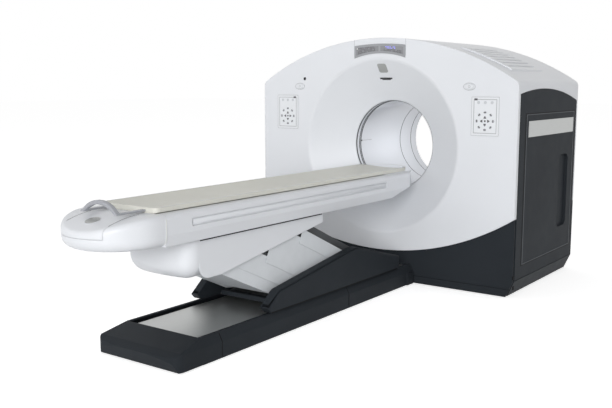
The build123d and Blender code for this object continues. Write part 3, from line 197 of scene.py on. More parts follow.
def colour(name, description, default):
    """A colour setting."""
    return FloatVectorProperty(
        name=name, description=description, subtype="COLOR", size=3, min=0.0, max=1.0, default=default
    )


def length(name, description, default):
    """A length setting in metres."""
    return FloatProperty(name=name, description=description, unit="LENGTH", min=0.0, default=default)


def power(name, description, default):
    """A lamp's power setting in watts."""
    return FloatProperty(name=name, description=description, unit="POWER", min=0.0, default=default)


class ScannerColours(bpy.types.PropertyGroup):
    """The colour of each finish, under the finish's own name."""

    white: colour("White covers", "Moulded covers of the ring and table", (0.78, 0.80, 0.835))
    liner: colour("Bore liner", "Inside of the bore", (0.76, 0.78, 0.82))
    dark: colour("Dark covers", "Skirts, doors and base covers", (0.0225, 0.0265, 0.0315))
    # Door rims are painted lighter than the dark covers as a highlight on the doors' bevelled edges
    rim: colour("Door rims", "Raised rims of the side doors, painted lighter as highlights", (0.045, 0.053, 0.063))
    # Colour of real joints and catches, also painted as shade in the door reveals, in the trim ring's groove
    # and under the hull side covers' and wedge covers' edges
    gap: colour("Dark joints and painted shade", "Gaps, catches, joint lines and painted shade in reveals, grooves and under edges", (0.005, 0.005, 0.006))
    seam: colour("Joint lines", "Joints beside the display", (0.22, 0.225, 0.24))
    slat: colour("Shroud slats", "Slats beside the lift", (0.70, 0.73, 0.76))
    plate: colour("Bare metal", "Top plate of the base and the door strip", (0.47, 0.48, 0.475))
    cradle: colour("Cradle", "Top of the sliding cradle", (0.74, 0.735, 0.67))
    edge: colour("Cradle edge", "Light strip along the cradle and beads of the nose", (0.78, 0.79, 0.78))
    handle: colour("Handle", "Pull bar of the cradle", (0.36, 0.37, 0.40))
    badge: colour("Blank plates", "Bare round and square plates", (0.36, 0.37, 0.365))
    display: colour("Display frame", "Frame round the screens", (0.33, 0.34, 0.36))
    screen: colour("Screens", "Screens when dark", (0.27, 0.275, 0.29))
    screen_cell: colour("Dark cells", "Dark cells of the screens", (0.10, 0.10, 0.115))
    glow: colour("Screen glow", "Lit cells of the right screen", (0.30, 0.30, 0.85))
    key: colour("Keys", "Membrane keys", (0.60, 0.62, 0.65))
    panel: colour("Key panels", "Membrane panels", (0.80, 0.82, 0.85))
    mark: colour("Key marks", "Arrows, bars and windows of the key panels", (0.09, 0.09, 0.10))
    line: colour("Pale lines", "Frame lines of the key panels and stop buttons", (0.44, 0.45, 0.47))
    lens: colour("Lenses", "Optical windows and the camera slot", (0.012, 0.012, 0.015))
    frame: colour("Frame steel", "Painted frames and arms", (0.07, 0.075, 0.08))
    works: colour("Works", "Machined and painted works", (0.42, 0.43, 0.45))
    rail: colour("Ground rails", "Rails, bearing and slip ring", (0.50, 0.51, 0.52))


class ScannerSizes(bpy.types.PropertyGroup):
    """Sizes of the fittings that this file adds."""

    badge_width: length("Badge width", "Width of the blank plate on the dish", 0.078)
    badge_height: length("Badge height", "Length of the blank plate down the dish", 0.082)
    inlay_width: length("Inlay width", "Diameter of the blank inlay on the nose", 0.080)
    seam_width: length("Seam width", "Width of the joint lines on the front", 0.0016)
    edge_width: length("Edge width", "Width of the light strip on the cradle", 0.011)
    cell_columns: IntProperty(name="Cell columns", description="Cells across a screen", min=1, default=15)
    cell_rows: IntProperty(name="Cell rows", description="Cells up a screen", min=1, default=4)


class ScannerStage(bpy.types.PropertyGroup):
    """Light, floor and camera."""

    floor_colour: colour("Floor", "Colour of the pale floor", (0.90, 0.90, 0.90))
    sky_level: FloatProperty(
        name="Sky level", description="Light from all round", subtype="FACTOR", min=0.0, max=1.0, default=0.40
    )
    key_power: power("Key power", "Large lamp in front", 2150.0)
    fill_power: power("Fill power", "Lamp on the left", 40.0)
    bore_power: power("Bore power", "Lamp into the bore", 900.0)
    lens: FloatProperty(
        name="Lens", description="Focal length in millimetres", unit="CAMERA", min=1.0, default=48.96
    )


# Finishes


class Finish:
    """A procedural material: a shader whose colour, gloss and relief vary over the piece."""

    def __init__(self, name, base, rough, metallic=0.0):
        self.material = bpy.data.materials.new(name)
        self.material.use_nodes = True
        self.tree = self.material.node_tree
        self.shader = self.tree.nodes["Principled BSDF"]
        self.base = tuple(base)
        self.put("Base Color", (*self.base, 1.0))
        self.put("Roughness", rough)
        self.put("Metallic", metallic)
        self.place = self.add("ShaderNodeTexCoord").outputs["Object"]
        self.normal = None

    def add(self, kind, **settings):
        """A new node, with its settings."""
        node = self.tree.nodes.new(kind)
        for key, value in settings.items():
            setattr(node, key, value)
        return node

    def link(self, source, target):
        """Joins an output to an input."""
        self.tree.links.new(source, target)

    def put(self, socket, value):
        """A value that is the same all over goes straight on the shader."""
        self.shader.inputs[socket].default_value = value

    def grain(self, scale, stretch=(1.0, 1.0, 1.0), detail=2.0):
        """Cloudy grain, drawn out along an axis where stretch is small."""
        mapping = self.add("ShaderNodeMapping")
        mapping.inputs["Scale"].default_value = stretch
        noise = self.add("ShaderNodeTexNoise")
        noise.inputs["Scale"].default_value = scale
        noise.inputs["Detail"].default_value = detail
        self.link(self.place, mapping.inputs["Vector"])
        self.link(mapping.outputs["Vector"], noise.inputs["Vector"])
        return noise.outputs["Fac"]

    def tint(self, factor, spread):
        """The colour wanders by a share either way."""
        ramp = self.add("ShaderNodeValToRGB")
        low, high = ramp.color_ramp.elements
        low.position, high.position = 0.3, 0.7
        low.color = (*[c * (1.0 - spread) for c in self.base], 1.0)
        high.color = (*[min(1.0, c * (1.0 + spread)) for c in self.base], 1.0)
        self.link(factor, ramp.inputs["Fac"])
        self.link(ramp.outputs["Color"], self.shader.inputs["Base Color"])

    def gloss(self, factor, low, high):
        """Roughness wanders between two values."""
        span = self.add("ShaderNodeMapRange")
        span.inputs["To Min"].default_value = low
        span.inputs["To Max"].default_value = high
        self.link(factor, span.inputs["Value"])
        self.link(span.outputs["Result"], self.shader.inputs["Roughness"])

    def soften(self, radius):
        """Edges catch the light as a small round would."""
        bevel = self.add("ShaderNodeBevel", samples=4)
        bevel.inputs["Radius"].default_value = radius
        self.normal = bevel.outputs["Normal"]
        self.link(self.normal, self.shader.inputs["Normal"])

    def relief(self, factor, depth, strength=1.0):
        """Fine relief from a pattern, over the softened edges."""
        bump = self.add("ShaderNodeBump")
        bump.inputs["Strength"].default_value = strength
        bump.inputs["Distance"].default_value = depth
        self.link(factor, bump.inputs["Height"])
        self.link(self.normal, bump.inputs["Normal"])
        self.normal = bump.outputs["Normal"]
        self.link(self.normal, self.shader.inputs["Normal"])


def moulded(name, base, rough, edge, grain_scale, grain_depth, spread):
    """Moulded cover: faint clouding, a little unevenness in its gloss, and fine grain."""
    finish = Finish(name, base, rough)
    finish.tint(finish.grain(scale=1.7), spread)
    finish.gloss(finish.grain(scale=9.0), low=rough - 0.05, high=rough + 0.05)
    finish.soften(radius=edge)
    finish.relief(finish.grain(grain_scale), grain_depth)
    return finish


def brushed(name, base, rough, along):
    """Bare metal brushed along an axis."""
    finish = Finish(name, base, rough, metallic=1.0)
    stretch = [1.0, 1.0, 1.0]
    stretch[along] = 0.012
    lines = finish.grain(scale=900.0, stretch=stretch, detail=3.0)
    finish.tint(lines, spread=0.08)
    finish.gloss(lines, low=rough - 0.08, high=rough + 0.10)
    finish.soften(radius=0.002)
    finish.relief(lines, depth=0.00006, strength=0.6)
    return finish


def painted(name, base, rough, spread):
    """Painted or machined metal with a slight orange-peel surface."""
    finish = Finish(name, base, rough)
    finish.tint(finish.grain(scale=14.0), spread)
    finish.gloss(finish.grain(scale=40.0), low=rough - 0.06, high=rough + 0.06)
    finish.soften(radius=0.0025)
    finish.relief(finish.grain(scale=420.0), depth=0.00008)
    return finish


# Material name, roughness, edge round, grain scale, grain depth and spread of colour
moulded_finishes = {
    "white": ("white_cover", 0.32, 0.008, 260.0, 0.00005, 0.012),
    "liner": ("bore_liner", 0.22, 0.003, 240.0, 0.00004, 0.012),
    "dark": ("dark_cover", 0.55, 0.006, 1500.0, 0.00022, 0.10),
    "rim": ("door_rim", 0.42, 0.002, 1500.0, 0.0001, 0.08),
    # The dark joint finish also paints shade in recesses and under overhanging edges
    "gap": ("dark_joint", 0.60, 0.0005, 1500.0, 0.00003, 0.10),
    "seam": ("joint_line", 0.60, 0.0005, 1500.0, 0.00003, 0.05),
    "cradle": ("cradle_top", 0.48, 0.004, 1800.0, 0.00012, 0.03),
    "edge": ("cradle_edge", 0.35, 0.002, 900.0, 0.00004, 0.02),
    "handle": ("handle_grey", 0.26, 0.002, 700.0, 0.00004, 0.03),
    "badge": ("blank_plate", 0.28, 0.002, 800.0, 0.00004, 0.03),
    "display": ("display_frame", 0.30, 0.002, 700.0, 0.00005, 0.04),
    "screen": ("screen", 0.16, 0.002, 600.0, 0.00002, 0.05),
    "screen_cell": ("screen_cell", 0.30, 0.001, 500.0, 0.00002, 0.05),
    "glow": ("glow_cell", 0.30, 0.001, 500.0, 0.00002, 0.05),
    "key": ("membrane_key", 0.45, 0.0015, 1500.0, 0.00006, 0.05),
    "panel": ("membrane_panel", 0.42, 0.0015, 1500.0, 0.00006, 0.02),
    "mark": ("key_mark", 0.50, 0.0005, 1500.0, 0.00003, 0.08),
    "line": ("pale_line", 0.50, 0.0005, 1500.0, 0.00003, 0.05),
    "lens": ("lens", 0.12, 0.001, 500.0, 0.00002, 0.10),
}
# Material name, roughness and spread of colour
painted_finishes = {
    "slat": ("slat_paint", 0.36, 0.02),
    "frame": ("frame_paint", 0.45, 0.06),
    "works": ("works_paint", 0.38, 0.06),
}
# Material name, roughness and axis of the brushing, where 1 is Y
brushed_finishes = {
    "plate": ("bare_plate", 0.38, 1),
    "rail": ("ground_rail", 0.28, 1),
}
# Values that are the same all over a finish
even_values = {
    "white": {"Specular IOR Level": 0.32, "Coat Weight": 0.04, "Coat Roughness": 0.12},
    "liner": {"Coat Weight": 0.2, "Coat Roughness": 0.08},
    "dark": {"Specular IOR Level": 0.07},
    "rim": {"Specular IOR Level": 0.15},
    "gap": {"Specular IOR Level": 0.1},
    "screen": {"Coat Weight": 0.6, "Coat Roughness": 0.04},
    "glow": {"Emission Strength": 0.45},
}


def make_finishes(colours):
    """Every finish, under the name that the pieces use."""
    kinds = ((moulded, moulded_finishes), (painted, painted_finishes), (brushed, brushed_finishes))
    finishes = {}
    for make, rows in kinds:
        for key, (name, *values) in rows.items():
            finishes[key] = make(name, getattr(colours, key), *values)
    for key, values in even_values.items():
        for socket, value in values.items():
            finishes[key].put(socket, value)
    finishes["glow"].put("Emission Color", (*colours.glow, 1.0))
    return {key: finish.material for key, finish in finishes.items()}


# The finish of each of the frame's own parts
node_finishes = {
    "white": (
        "front_cover", "roof_cover", "rear_cover", "table_side_covers", "table_head_cover", "nose_cover",
        "nose_top_panel", "underbody_hull", "stop_button_right", "stop_button_left",
    ),
    "liner": ("bore_liner_front", "bore_liner_middle", "bore_liner_rear", "bore_trim_ring"),
    "dark": (
        "front_lower_panel", "rear_lower_panel", "side_cover_right", "side_cover_left", "side_doors",
        "base_end_cap", "base_side_covers", "wedge_covers", "carriage_cross_cover",
    ),
    "slat": ("shroud_front", "shroud_slat_1", "shroud_slat_2", "shroud_slat_3"),
    "plate": ("base_top_plate", "door_strip"),
    "cradle": ("cradle",),
    "handle": ("cradle_handle",),
    "display": ("display_bezel",),
    "screen": ("display_screens",),
    "panel": ("control_panels",),
    "key": ("control_keys",),
    "lens": ("optical_windows",),
    "frame": (
        "gantry_base_plate", "cover_frame", "ct_stator_frame", "pet_ring_frame", "electronics_racks",
        "base_frame", "carriage_frame", "lift_arm_lower", "lift_arm_upper", "table_frame",
    ),
    "works": (
        "rotor_drive_stator", "pet_detector_modules", "pet_end_shields", "rotor_drum", "xray_tube",
        "detector_arc", "high_voltage_generator", "heat_exchanger", "lift_gear_motor", "cradle_drive",
    ),
    "rail": ("ct_main_bearing", "slip_ring", "carriage_rails", "cradle_rails"),
}
# Filled by the first operator and read by the others
materials = {}


# Places


def arch_height(x):
    """Height of the roof line at a distance from the middle."""
    return roof_top - arch_radius + sqrt(arch_radius**2 - x**2)


def face_matrix(origin, x_axis, normal):
    """The frame of a flat place: X along it, Z out of it."""
    z = Vector(normal).normalized()
    x = Vector(x_axis).normalized()
    y = z.cross(x)
    return Matrix((
        (x.x, y.x, z.x, origin[0]), (x.y, y.y, z.y, origin[1]), (x.z, y.z, z.z, origin[2]), (0, 0, 0, 1),
    ))


def dish_place(radius):
    """Frame of the dish's slope above the bore, at a radius from the bore axis."""
    run = mouth_radius - bore_radius
    depth = mouth_depth * (mouth_radius - radius) / run
    return face_matrix((0, front_y + depth, bore_z + radius), (1, 0, 0), (0, -run, -mouth_depth))


def front_place(x, z, proud):
    """Frame of a place on the front, proud of its face."""
    return face_matrix((x, front_y - proud, z), (1, 0, 0), (0, -1, 0))


def side_place(side, x, y, z):
    """Frame of a place on the left or the right side."""
    return face_matrix((side * x, y, z), (0, side, 0), (side, 0, 0))


def side_span(side, x, sink, rise):
    """X limits of a bar on a side face, from inside the face to outside it."""
    return sorted((side * (x - sink), side * (x + rise)))


def about(half):
    """Limits that lie evenly about nought."""
    return -half, half


def steps_between(first, last, count=24):
    """Even steps from one value to another, both included."""
    return [first + (last - first) * n / count for n in range(count + 1)]


def oval(half_x, half_y, steps=48):
    """Points round an ellipse."""
    return [(half_x * cos(2 * pi * n / steps), half_y * sin(2 * pi * n / steps)) for n in range(steps)]


def surface(names):
    """A search tree over some of the frame's parts."""
    bm = bmesh.new()
    for name in names:
        bm.from_mesh(frame["nodes"][name].data)
    tree = BVHTree.FromBMesh(bm)
    bm.free()
    return tree


# Shapes


def only_verts(items):
    """The vertices in an operator's result."""
    return [item for item in items if isinstance(item, bmesh.types.BMVert)]


def only_edges(items, apart_from=()):
    """The edges in an operator's result that touch none of the given vertices."""
    old = set(apart_from)
    edges = [item for item in items if isinstance(item, bmesh.types.BMEdge)]
    return [edge for edge in edges if not set(edge.verts) & old]


def edges_of(verts):
    """Every edge that touches the given vertices."""
    return {edge for vert in verts for edge in vert.link_edges}


def edges_along(bm, direction):
    """Edges that run along a direction."""
    along = Vector(direction).normalized()
    return [e for e in bm.edges if abs((e.verts[0].co - e.verts[1].co).normalized().dot(along)) > 0.99]


def slab_mesh(bm, x_span, y_span, z_span, turn=None):
    """A box between two limits on each axis, turned if asked; gives its vertices."""
    spans = (x_span, y_span, z_span)
    middle = Vector([(low + high) / 2 for low, high in spans])
    size = Vector([high - low for low, high in spans])
    matrix = Matrix.Translation(middle) @ Matrix.Diagonal((*size, 1.0))
    if turn is not None:
        matrix = turn @ matrix
    return bmesh.ops.create_cube(bm, size=1.0, matrix=matrix)["verts"]


def round_edges(bm, width, segments, edges):
    """Rounds the given edges."""
    bmesh.ops.bevel(
        bm, geom=list(edges), offset=width, offset_type="OFFSET", affect="EDGES", segments=segments,
        profile=0.5, material=-1, clamp_overlap=True,
    )


def disc_mesh(bm, radius, depth, matrix, segments):
    """A disc that rises by depth along its own Z; gives the rim edges of its top."""
    made = bmesh.ops.create_circle(bm, cap_ends=True, radius=radius, segments=segments, matrix=matrix)
    face = made["verts"][0].link_faces[0]
    top = bmesh.ops.extrude_face_region(bm, geom=[face], use_keep_orig=True)["geom"]
    bmesh.ops.translate(bm, verts=only_verts(top), vec=matrix.to_3x3() @ Vector((0, 0, depth)))
    return only_edges(top)


def ring_mesh(bm, radius, thickness, y_low, y_high, steps=160):
    """A band about the bore axis, spun from a small outline."""
    outer = radius + thickness
    corners = ((radius, y_low), (outer, y_low), (outer, y_high), (radius, y_high))
    verts = [bm.verts.new((0, y, bore_z + r)) for r, y in corners]
    edges = [bm.edges.new((verts[i - 1], verts[i])) for i in range(len(verts))]
    bmesh.ops.spin(
        bm, geom=[*verts, *edges], cent=(0, 0, bore_z), axis=(0, 1, 0), angle=2 * pi, steps=steps,
        use_merge=True, use_duplicate=False,
    )


def line_mesh(bm, place, points, width, rise):
    """A thin raised line just inside a closed outline that is drawn in a place's own plane."""
    face = bm.faces.new([bm.verts.new(place @ Vector((x, y, 0))) for x, y in points])
    face.normal_update()
    line = bmesh.ops.inset_region(
        bm, faces=[face], thickness=width, use_boundary=True, use_even_offset=True
    )["faces"]
    bmesh.ops.delete(bm, geom=[face], context="FACES")
    top = bmesh.ops.extrude_face_region(bm, geom=line, use_keep_orig=True)["geom"]
    bmesh.ops.translate(bm, verts=only_verts(top), vec=place.to_3x3() @ Vector((0, 0, rise)))


def border_mesh(bm, place, half, width, rise):
    """Four bars round a rectangle, as wide as asked on its uprights and on its ends."""
    for sign in (-1, 1):
        upright = sorted((sign * half.x, sign * (half.x - width[0])))
        slab_mesh(bm, upright, about(half.y), about(rise), turn=place)
        across = sorted((sign * half.y, sign * (half.y - width[1])))
        slab_mesh(bm, about(half.x - width[0]), across, about(rise), turn=place)


def ribbon_mesh(bm, tree, starts, aim, across, rise):
    """A thin band laid on a surface where rays from its start points meet it."""
    rings = []
    for start in starts:
        ring = []
        for side in (-1, 1):
            spot, normal, _, _ = tree.ray_cast(start + side * across, aim)
            ring += [bm.verts.new(spot - normal * line_sink), bm.verts.new(spot + normal * rise)]
        rings.append([ring[0], ring[1], ring[3], ring[2]])
    for before, after in zip(rings, rings[1:]):
        for n in range(4):
            bm.faces.new((before[n - 1], before[n], after[n], after[n - 1]))
    for end in (rings[0], rings[-1]):
        bm.faces.new(end)


def piece(name, bm, material, body):
    """A finished piece from a bmesh, riding on its body."""
    bmesh.ops.remove_doubles(bm, verts=list(bm.verts), dist=1e-6)
    bmesh.ops.recalc_face_normals(bm, faces=list(bm.faces))
    mesh = bpy.data.meshes.new(name)
    bm.to_mesh(mesh)
    bm.free()
    mesh.shade_smooth()
    mesh.set_sharp_from_angle(angle=radians(35))
    mesh.materials.append(materials[material])
    obj = bpy.data.objects.new(name, mesh)
    bpy.context.scene.collection.objects.link(obj)
    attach(obj, body)


def settings():
    """The scene's scanner settings."""
    scene = bpy.context.scene
    return scene.scanner_colours, scene.scanner_sizes, scene.scanner_stage


# Operators


class ScannerOperator(bpy.types.Operator):
    """Base of the operators below."""

    bl_options = {"REGISTER", "UNDO"}


class SCANNER_OT_finishes(ScannerOperator):
    """Make the finishes and put them on the frame's own parts"""

    bl_idname = "scanner.finishes"
    bl_label = "Finishes"

    def execute(self, context):
        colours, _, _ = settings()
        materials.update(make_finishes(colours))
        dressed = set()
        for finish, names in node_finishes.items():
            for name in names:
                slots = frame["nodes"][name].data.materials
                slots.clear()
                slots.append(materials[finish])
                dressed.add(name)
        bare = sorted(set(frame["nodes"]) - dressed)
        if bare:
            raise RuntimeError(f"no finish for {bare}")
        return {"FINISHED"}


class SCANNER_OT_badge(ScannerOperator):
    """Add the blank square plate and the dark camera slot above the bore"""

    bl_idname = "scanner.badge"
    bl_label = "Blank plate"

    def execute(self, context):
        _, sizes, _ = settings()
        place = dish_place(badge_radius)
        back = place.inverted()
        normal = place.to_3x3() @ Vector((0, 0, 1))
        half_w, half_h = sizes.badge_width / 2, sizes.badge_height / 2
        plate = bmesh.new()
        slab_mesh(plate, about(half_w), about(half_h), (-badge_sink, badge_rise), turn=place)
        round_edges(plate, badge_corner, 6, edges_along(plate, normal))
        rim = [e for e in plate.edges if all((back @ v.co).z > badge_rise / 2 for v in e.verts)]
        round_edges(plate, badge_round, 3, rim)
        piece("blank_front_plate", plate, "badge", "gantry")
        half_w, half_h = slot_half
        slot = bmesh.new()
        slab_mesh(slot, about(half_w), about(half_h), (-badge_sink, slot_rise), turn=dish_place(slot_radius))
        round_edges(slot, slot_corner, 5, edges_along(slot, normal))
        piece("camera_slot_plate", slot, "lens", "gantry")
        return {"FINISHED"}


class SCANNER_OT_display(ScannerOperator):
    """Add the cells of the two screens"""

    bl_idname = "scanner.display"
    bl_label = "Screen cells"

    def execute(self, context):
        _, sizes, _ = settings()
        kinds = {"glow": bmesh.new(), "screen_cell": bmesh.new(), "edge": bmesh.new()}
        pitch = screen_width / sizes.cell_columns
        share_x, share_z = cell_half_share
        for side in (-1, 1):
            for column in range(sizes.cell_columns):
                x = side * (screen_start + pitch * (column + 0.5))
                low = bore_z + sqrt(screen_low_radius**2 - x**2)
                high = arch_height(x) - screen_top_margin
                step = (high - low) / sizes.cell_rows
                for row in range(sizes.cell_rows):
                    kind = self.kind(side, column, row, sizes)
                    if kind is None:
                        continue
                    bm = kinds[kind]
                    place = front_place(x, low + step * (row + 0.5), screen_proud)
                    half_w, half_h = pitch * share_x, step * share_z
                    made = slab_mesh(bm, about(half_w), about(half_h), about(cell_rise), turn=place)
                    round_edges(bm, cell_round, 1, edges_of(made))
        piece("screen_cells_lit", kinds["glow"], "glow", "gantry")
        piece("screen_cells_dark", kinds["screen_cell"], "screen_cell", "gantry")
        piece("screen_cells_pale", kinds["edge"], "edge", "gantry")
        return {"FINISHED"}

    def kind(self, side, column, row, sizes):
        """Blue cells high on the right screen, dark cells elsewhere, one pale cell and some left bare."""
        last = sizes.cell_columns - 1
        upper = row >= sizes.cell_rows // 2
        if side > 0 and upper:
            return "glow" if column in lit_columns and (column + row) % 5 else None
        if column in (0, 1, last):
            return "edge" if side < 0 and column == last and row == sizes.cell_rows - 1 else None
        return "screen_cell" if (3 * column + 5 * row) % 7 else None


class SCANNER_OT_keys(ScannerOperator):
    """Add the arrows, bars, frame lines and windows of the two key panels"""

    bl_idname = "scanner.keys"
    bl_label = "Key marks"

    def execute(self, context):
        marks, lines, windows = bmesh.new(), bmesh.new(), bmesh.new()
        low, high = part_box("control_panels")
        middle_z = (low.z + high.z) / 2
        half_w, half_h = window_half
        for side in (-1, 1):
            x = side * key_centre_x
            self.arrows(marks, x)
            self.bars(marks, x)
            for inset, width in panel_lines:
                half_x, half_z = panel_half_width - inset, (high.z - low.z) / 2 - inset
                corners = [(-half_x, -half_z), (half_x, -half_z), (half_x, half_z), (-half_x, half_z)]
                line_mesh(lines, front_place(x, middle_z, panel_proud), corners, width, mark_rise)
            place = front_place(x - side * window_offset, window_z, panel_proud)
            made = slab_mesh(windows, about(half_w), about(half_h), (-mark_rise, 2 * mark_rise), turn=place)
            round_edges(windows, mark_rise, 2, edges_of(made))
        piece("key_marks", marks, "mark", "gantry")
        piece("key_panel_lines", lines, "line", "gantry")
        piece("key_windows", windows, "mark", "gantry")
        return {"FINISHED"}

    def arrows(self, bm, x):
        """Four arrow marks about a hub."""
        for number in range(4):
            angle = number * pi / 2
            place = self.spot(x, arrow_reach, angle) @ Matrix.Rotation(angle - pi / 2, 4, "Z")
            disc_mesh(bm, arrow_radius, mark_rise, place, segments=3)
        disc_mesh(bm, hub_radius, mark_rise, front_place(x, key_centre_z, panel_proud), segments=24)

    def bars(self, bm, x):
        """A ring of bar marks round the arrows."""
        half_w, half_h = key_bar_half
        for number in range(key_ring_count):
            angle = 2 * pi * number / key_ring_count
            place = self.spot(x, key_ring_radius, angle) @ Matrix.Rotation(angle, 4, "Z")
            slab_mesh(bm, about(half_w), about(half_h), about(mark_rise), turn=place)

    def spot(self, x, reach, angle):
        """Frame of a place on the keys, at a reach and an angle from the panel's middle."""
        return front_place(x + reach * cos(angle), key_centre_z + reach * sin(angle), key_proud)


class SCANNER_OT_stops(ScannerOperator):
    """Add the line round each stop button and its mark"""

    bl_idname = "scanner.stops"
    bl_label = "Stop marks"

    def execute(self, context):
        for word in ("left", "right"):
            low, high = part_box(f"stop_button_{word}")
            middle = (low + high) / 2
            outline = (high - low) / 2 * stop_line_share
            lines, marks = bmesh.new(), bmesh.new()
            place = front_place(middle.x, middle.z, stop_line_proud)
            line_mesh(lines, place, oval(outline.x, outline.z), stop_line_width, mark_rise)
            piece(f"stop_line_{word}", lines, "line", "gantry")
            face = face_matrix((middle.x, low.y, middle.z), (1, 0, 0), (0, -1, 0))
            line_mesh(marks, face, oval(stop_mark_radius, stop_mark_radius), stop_line_width, mark_rise)
            piece(f"stop_mark_{word}", marks, "line", f"stop_{word}")
        return {"FINISHED"}


class SCANNER_OT_sides(ScannerOperator):
    """Add the side doors' gaps widened with painted shade of their recessed reveals, rims painted lighter as
    highlights on the doors' edges, and the small catches at the gantry's front corners
    """

    bl_idname = "scanner.sides"
    bl_label = "Side gaps and catches"

    def execute(self, context):
        low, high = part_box("side_doors")
        middle_y, middle_z = (low.y + high.y) / 2, (low.z + high.z) / 2
        half = Vector(((high.y - low.y) / 2, (high.z - low.z) / 2))
        half_w, half_h = catch_half
        shade_bands, rim_highlights, catches = bmesh.new(), bmesh.new(), bmesh.new()
        for side in (-1, 1):
            place = side_place(side, high.x, middle_y, middle_z)
            # Dark bands round each door: the gap, widened into painted shade of the recessed reveal
            border_mesh(shade_bands, place, half + Vector(door_shade_band), door_shade_band, mark_rise)
            # Raised rims, painted lighter as a highlight where each door's bevelled edge catches the light
            border_mesh(rim_highlights, place, half, door_rim, rim_rise)
            for y, z in catch_places:
                spot = side_place(side, high.x, front_y + y, z)
                made = slab_mesh(catches, about(half_w), about(half_h), (-catch_sink, catch_rise), turn=spot)
                round_edges(catches, catch_round, 2, edges_of(made))
        piece("door_gaps", shade_bands, "gap", "gantry")
        piece("door_rims", rim_highlights, "rim", "gantry")
        piece("corner_catches", catches, "gap", "gantry")
        return {"FINISHED"}


class SCANNER_OT_seams(ScannerOperator):
    """Add the joint lines beside the display and across the base's sides, and a dark line at the foot of the
    wedge covers that is partly joint and partly painted shade
    """

    bl_idname = "scanner.seams"
    bl_label = "Joint lines"

    def execute(self, context):
        _, sizes, _ = settings()
        half = sizes.seam_width / 2
        front, base, foot_shade = bmesh.new(), bmesh.new(), bmesh.new()
        tree = surface(("base_side_covers",))
        base_joints = (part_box("base_side_covers")[0].y + 2 * base_seam_half, base_seam_y)
        low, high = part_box("wedge_covers")
        for side in (-1, 1):
            x = side * seam_x
            y_span = (front_y - seam_rise, front_y + seam_rise)
            made = slab_mesh(front, (x - half, x + half), y_span, (seam_low, arch_height(x)))
            round_edges(front, seam_round, 1, edges_of(made))
            inward = Vector((-side, 0, 0))
            for y in base_joints:
                starts = [Vector((side, y, z)) for z in steps_between(*base_seam_z)]
                ribbon_mesh(base, tree, starts, inward, Vector((0, base_seam_half, 0)), line_rise)
            # Dark line at the wedge cover's foot: its parting line, with painted shade under the edge
            x_span = side_span(side, high.x, bar_sink, line_rise)
            slab_mesh(foot_shade, x_span, (low.y + foot_margin, high.y - foot_margin), (low.z, low.z + foot_shade_height))
        piece("front_joint_lines", front, "seam", "gantry")
        piece("base_joint_lines", base, "gap", "gantry")
        piece("wedge_foot_lines", foot_shade, "gap", "carriage")
        return {"FINISHED"}


class SCANNER_OT_bore(ScannerOperator):
    """Add the dark joint rings, a dark ring of painted shade in the trim ring's groove, and the laser windows
    inside the bore
    """

    bl_idname = "scanner.bore"
    bl_label = "Bore rings"

    def execute(self, context):
        rings = bmesh.new()
        for y_low, y_high in self.joints():
            ring_mesh(rings, bore_radius - ring_rise, 2 * ring_rise, y_low, y_high)
        piece("bore_joint_rings", rings, "gap", "gantry")
        windows = bmesh.new()
        angle = laser_rise / bore_radius
        z = bore_z + bore_radius * sin(angle)
        for side in (-1, 1):
            origin = (side * bore_radius * cos(angle), front_y + laser_depth, z)
            place = face_matrix(origin, (0, 1, 0), (-side * cos(angle), 0, -sin(angle)))
            rim = disc_mesh(windows, laser_radius, laser_thick, place, segments=28)
            round_edges(windows, laser_round, 1, rim)
            z_span = (-laser_line_sink, laser_line_rise)
            made = slab_mesh(windows, laser_line_run, about(laser_line_half), z_span, turn=place)
            round_edges(windows, laser_line_round, 1, edges_of(made))
        piece("bore_laser_windows", windows, "lens", "gantry")
        return {"FINISHED"}

    def joints(self):
        """Y limits of the dark line at the trim ring's edge, of the painted shade in its groove and of the
        joints between the liners.
        """
        low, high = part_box("bore_trim_ring")
        groove = low.y + 2 * (high.y - low.y) / 3
        # The second span is painted shade in the trim ring's groove; the others are dark joints
        spans = [(low.y, low.y + trim_edge), (groove, groove + groove_shade_width)]
        for node, half in liner_joints.items():
            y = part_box(node)[0].y
            spans.append((y - half, y + half))
        return spans


class SCANNER_OT_cradle(ScannerOperator):
    """Add the light strip round the cradle's edge"""

    bl_idname = "scanner.cradle"
    bl_label = "Cradle edge"

    def execute(self, context):
        _, sizes, _ = settings()
        low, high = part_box("cradle")
        outer = high.x - edge_inset
        inner = outer - sizes.edge_width
        centre_y = high.y - high.x
        start_y = low.y + edge_start
        section = (
            (inner, 0), (inner, edge_shoulder), (inner + edge_corner, edge_rise),
            (outer - edge_corner, edge_rise), (outer, edge_shoulder), (outer, 0),
        )
        bm = bmesh.new()
        verts = [bm.verts.new((x, start_y, high.z + z)) for x, z in section]
        edges = [bm.edges.new((verts[i - 1], verts[i])) for i in range(len(verts))]
        bm.faces.new(verts)
        run = bmesh.ops.extrude_edge_only(bm, edges=edges)["geom"]
        bmesh.ops.translate(bm, verts=only_verts(run), vec=(0, centre_y - start_y, 0))
        turned = bmesh.ops.spin(
            bm, geom=only_verts(run) + only_edges(run, verts), cent=(0, centre_y, 0), axis=(0, 0, 1),
            angle=pi, steps=40, use_duplicate=False,
        )["geom_last"]
        ends = only_edges(turned)
        back = bmesh.ops.extrude_edge_only(bm, edges=ends)["geom"]
        bmesh.ops.translate(bm, verts=only_verts(back), vec=(0, start_y - centre_y, 0))
        bmesh.ops.contextual_create(bm, geom=only_edges(back, [v for e in ends for v in e.verts]))
        piece("cradle_edge_strip", bm, "edge", "cradle")
        return {"FINISHED"}


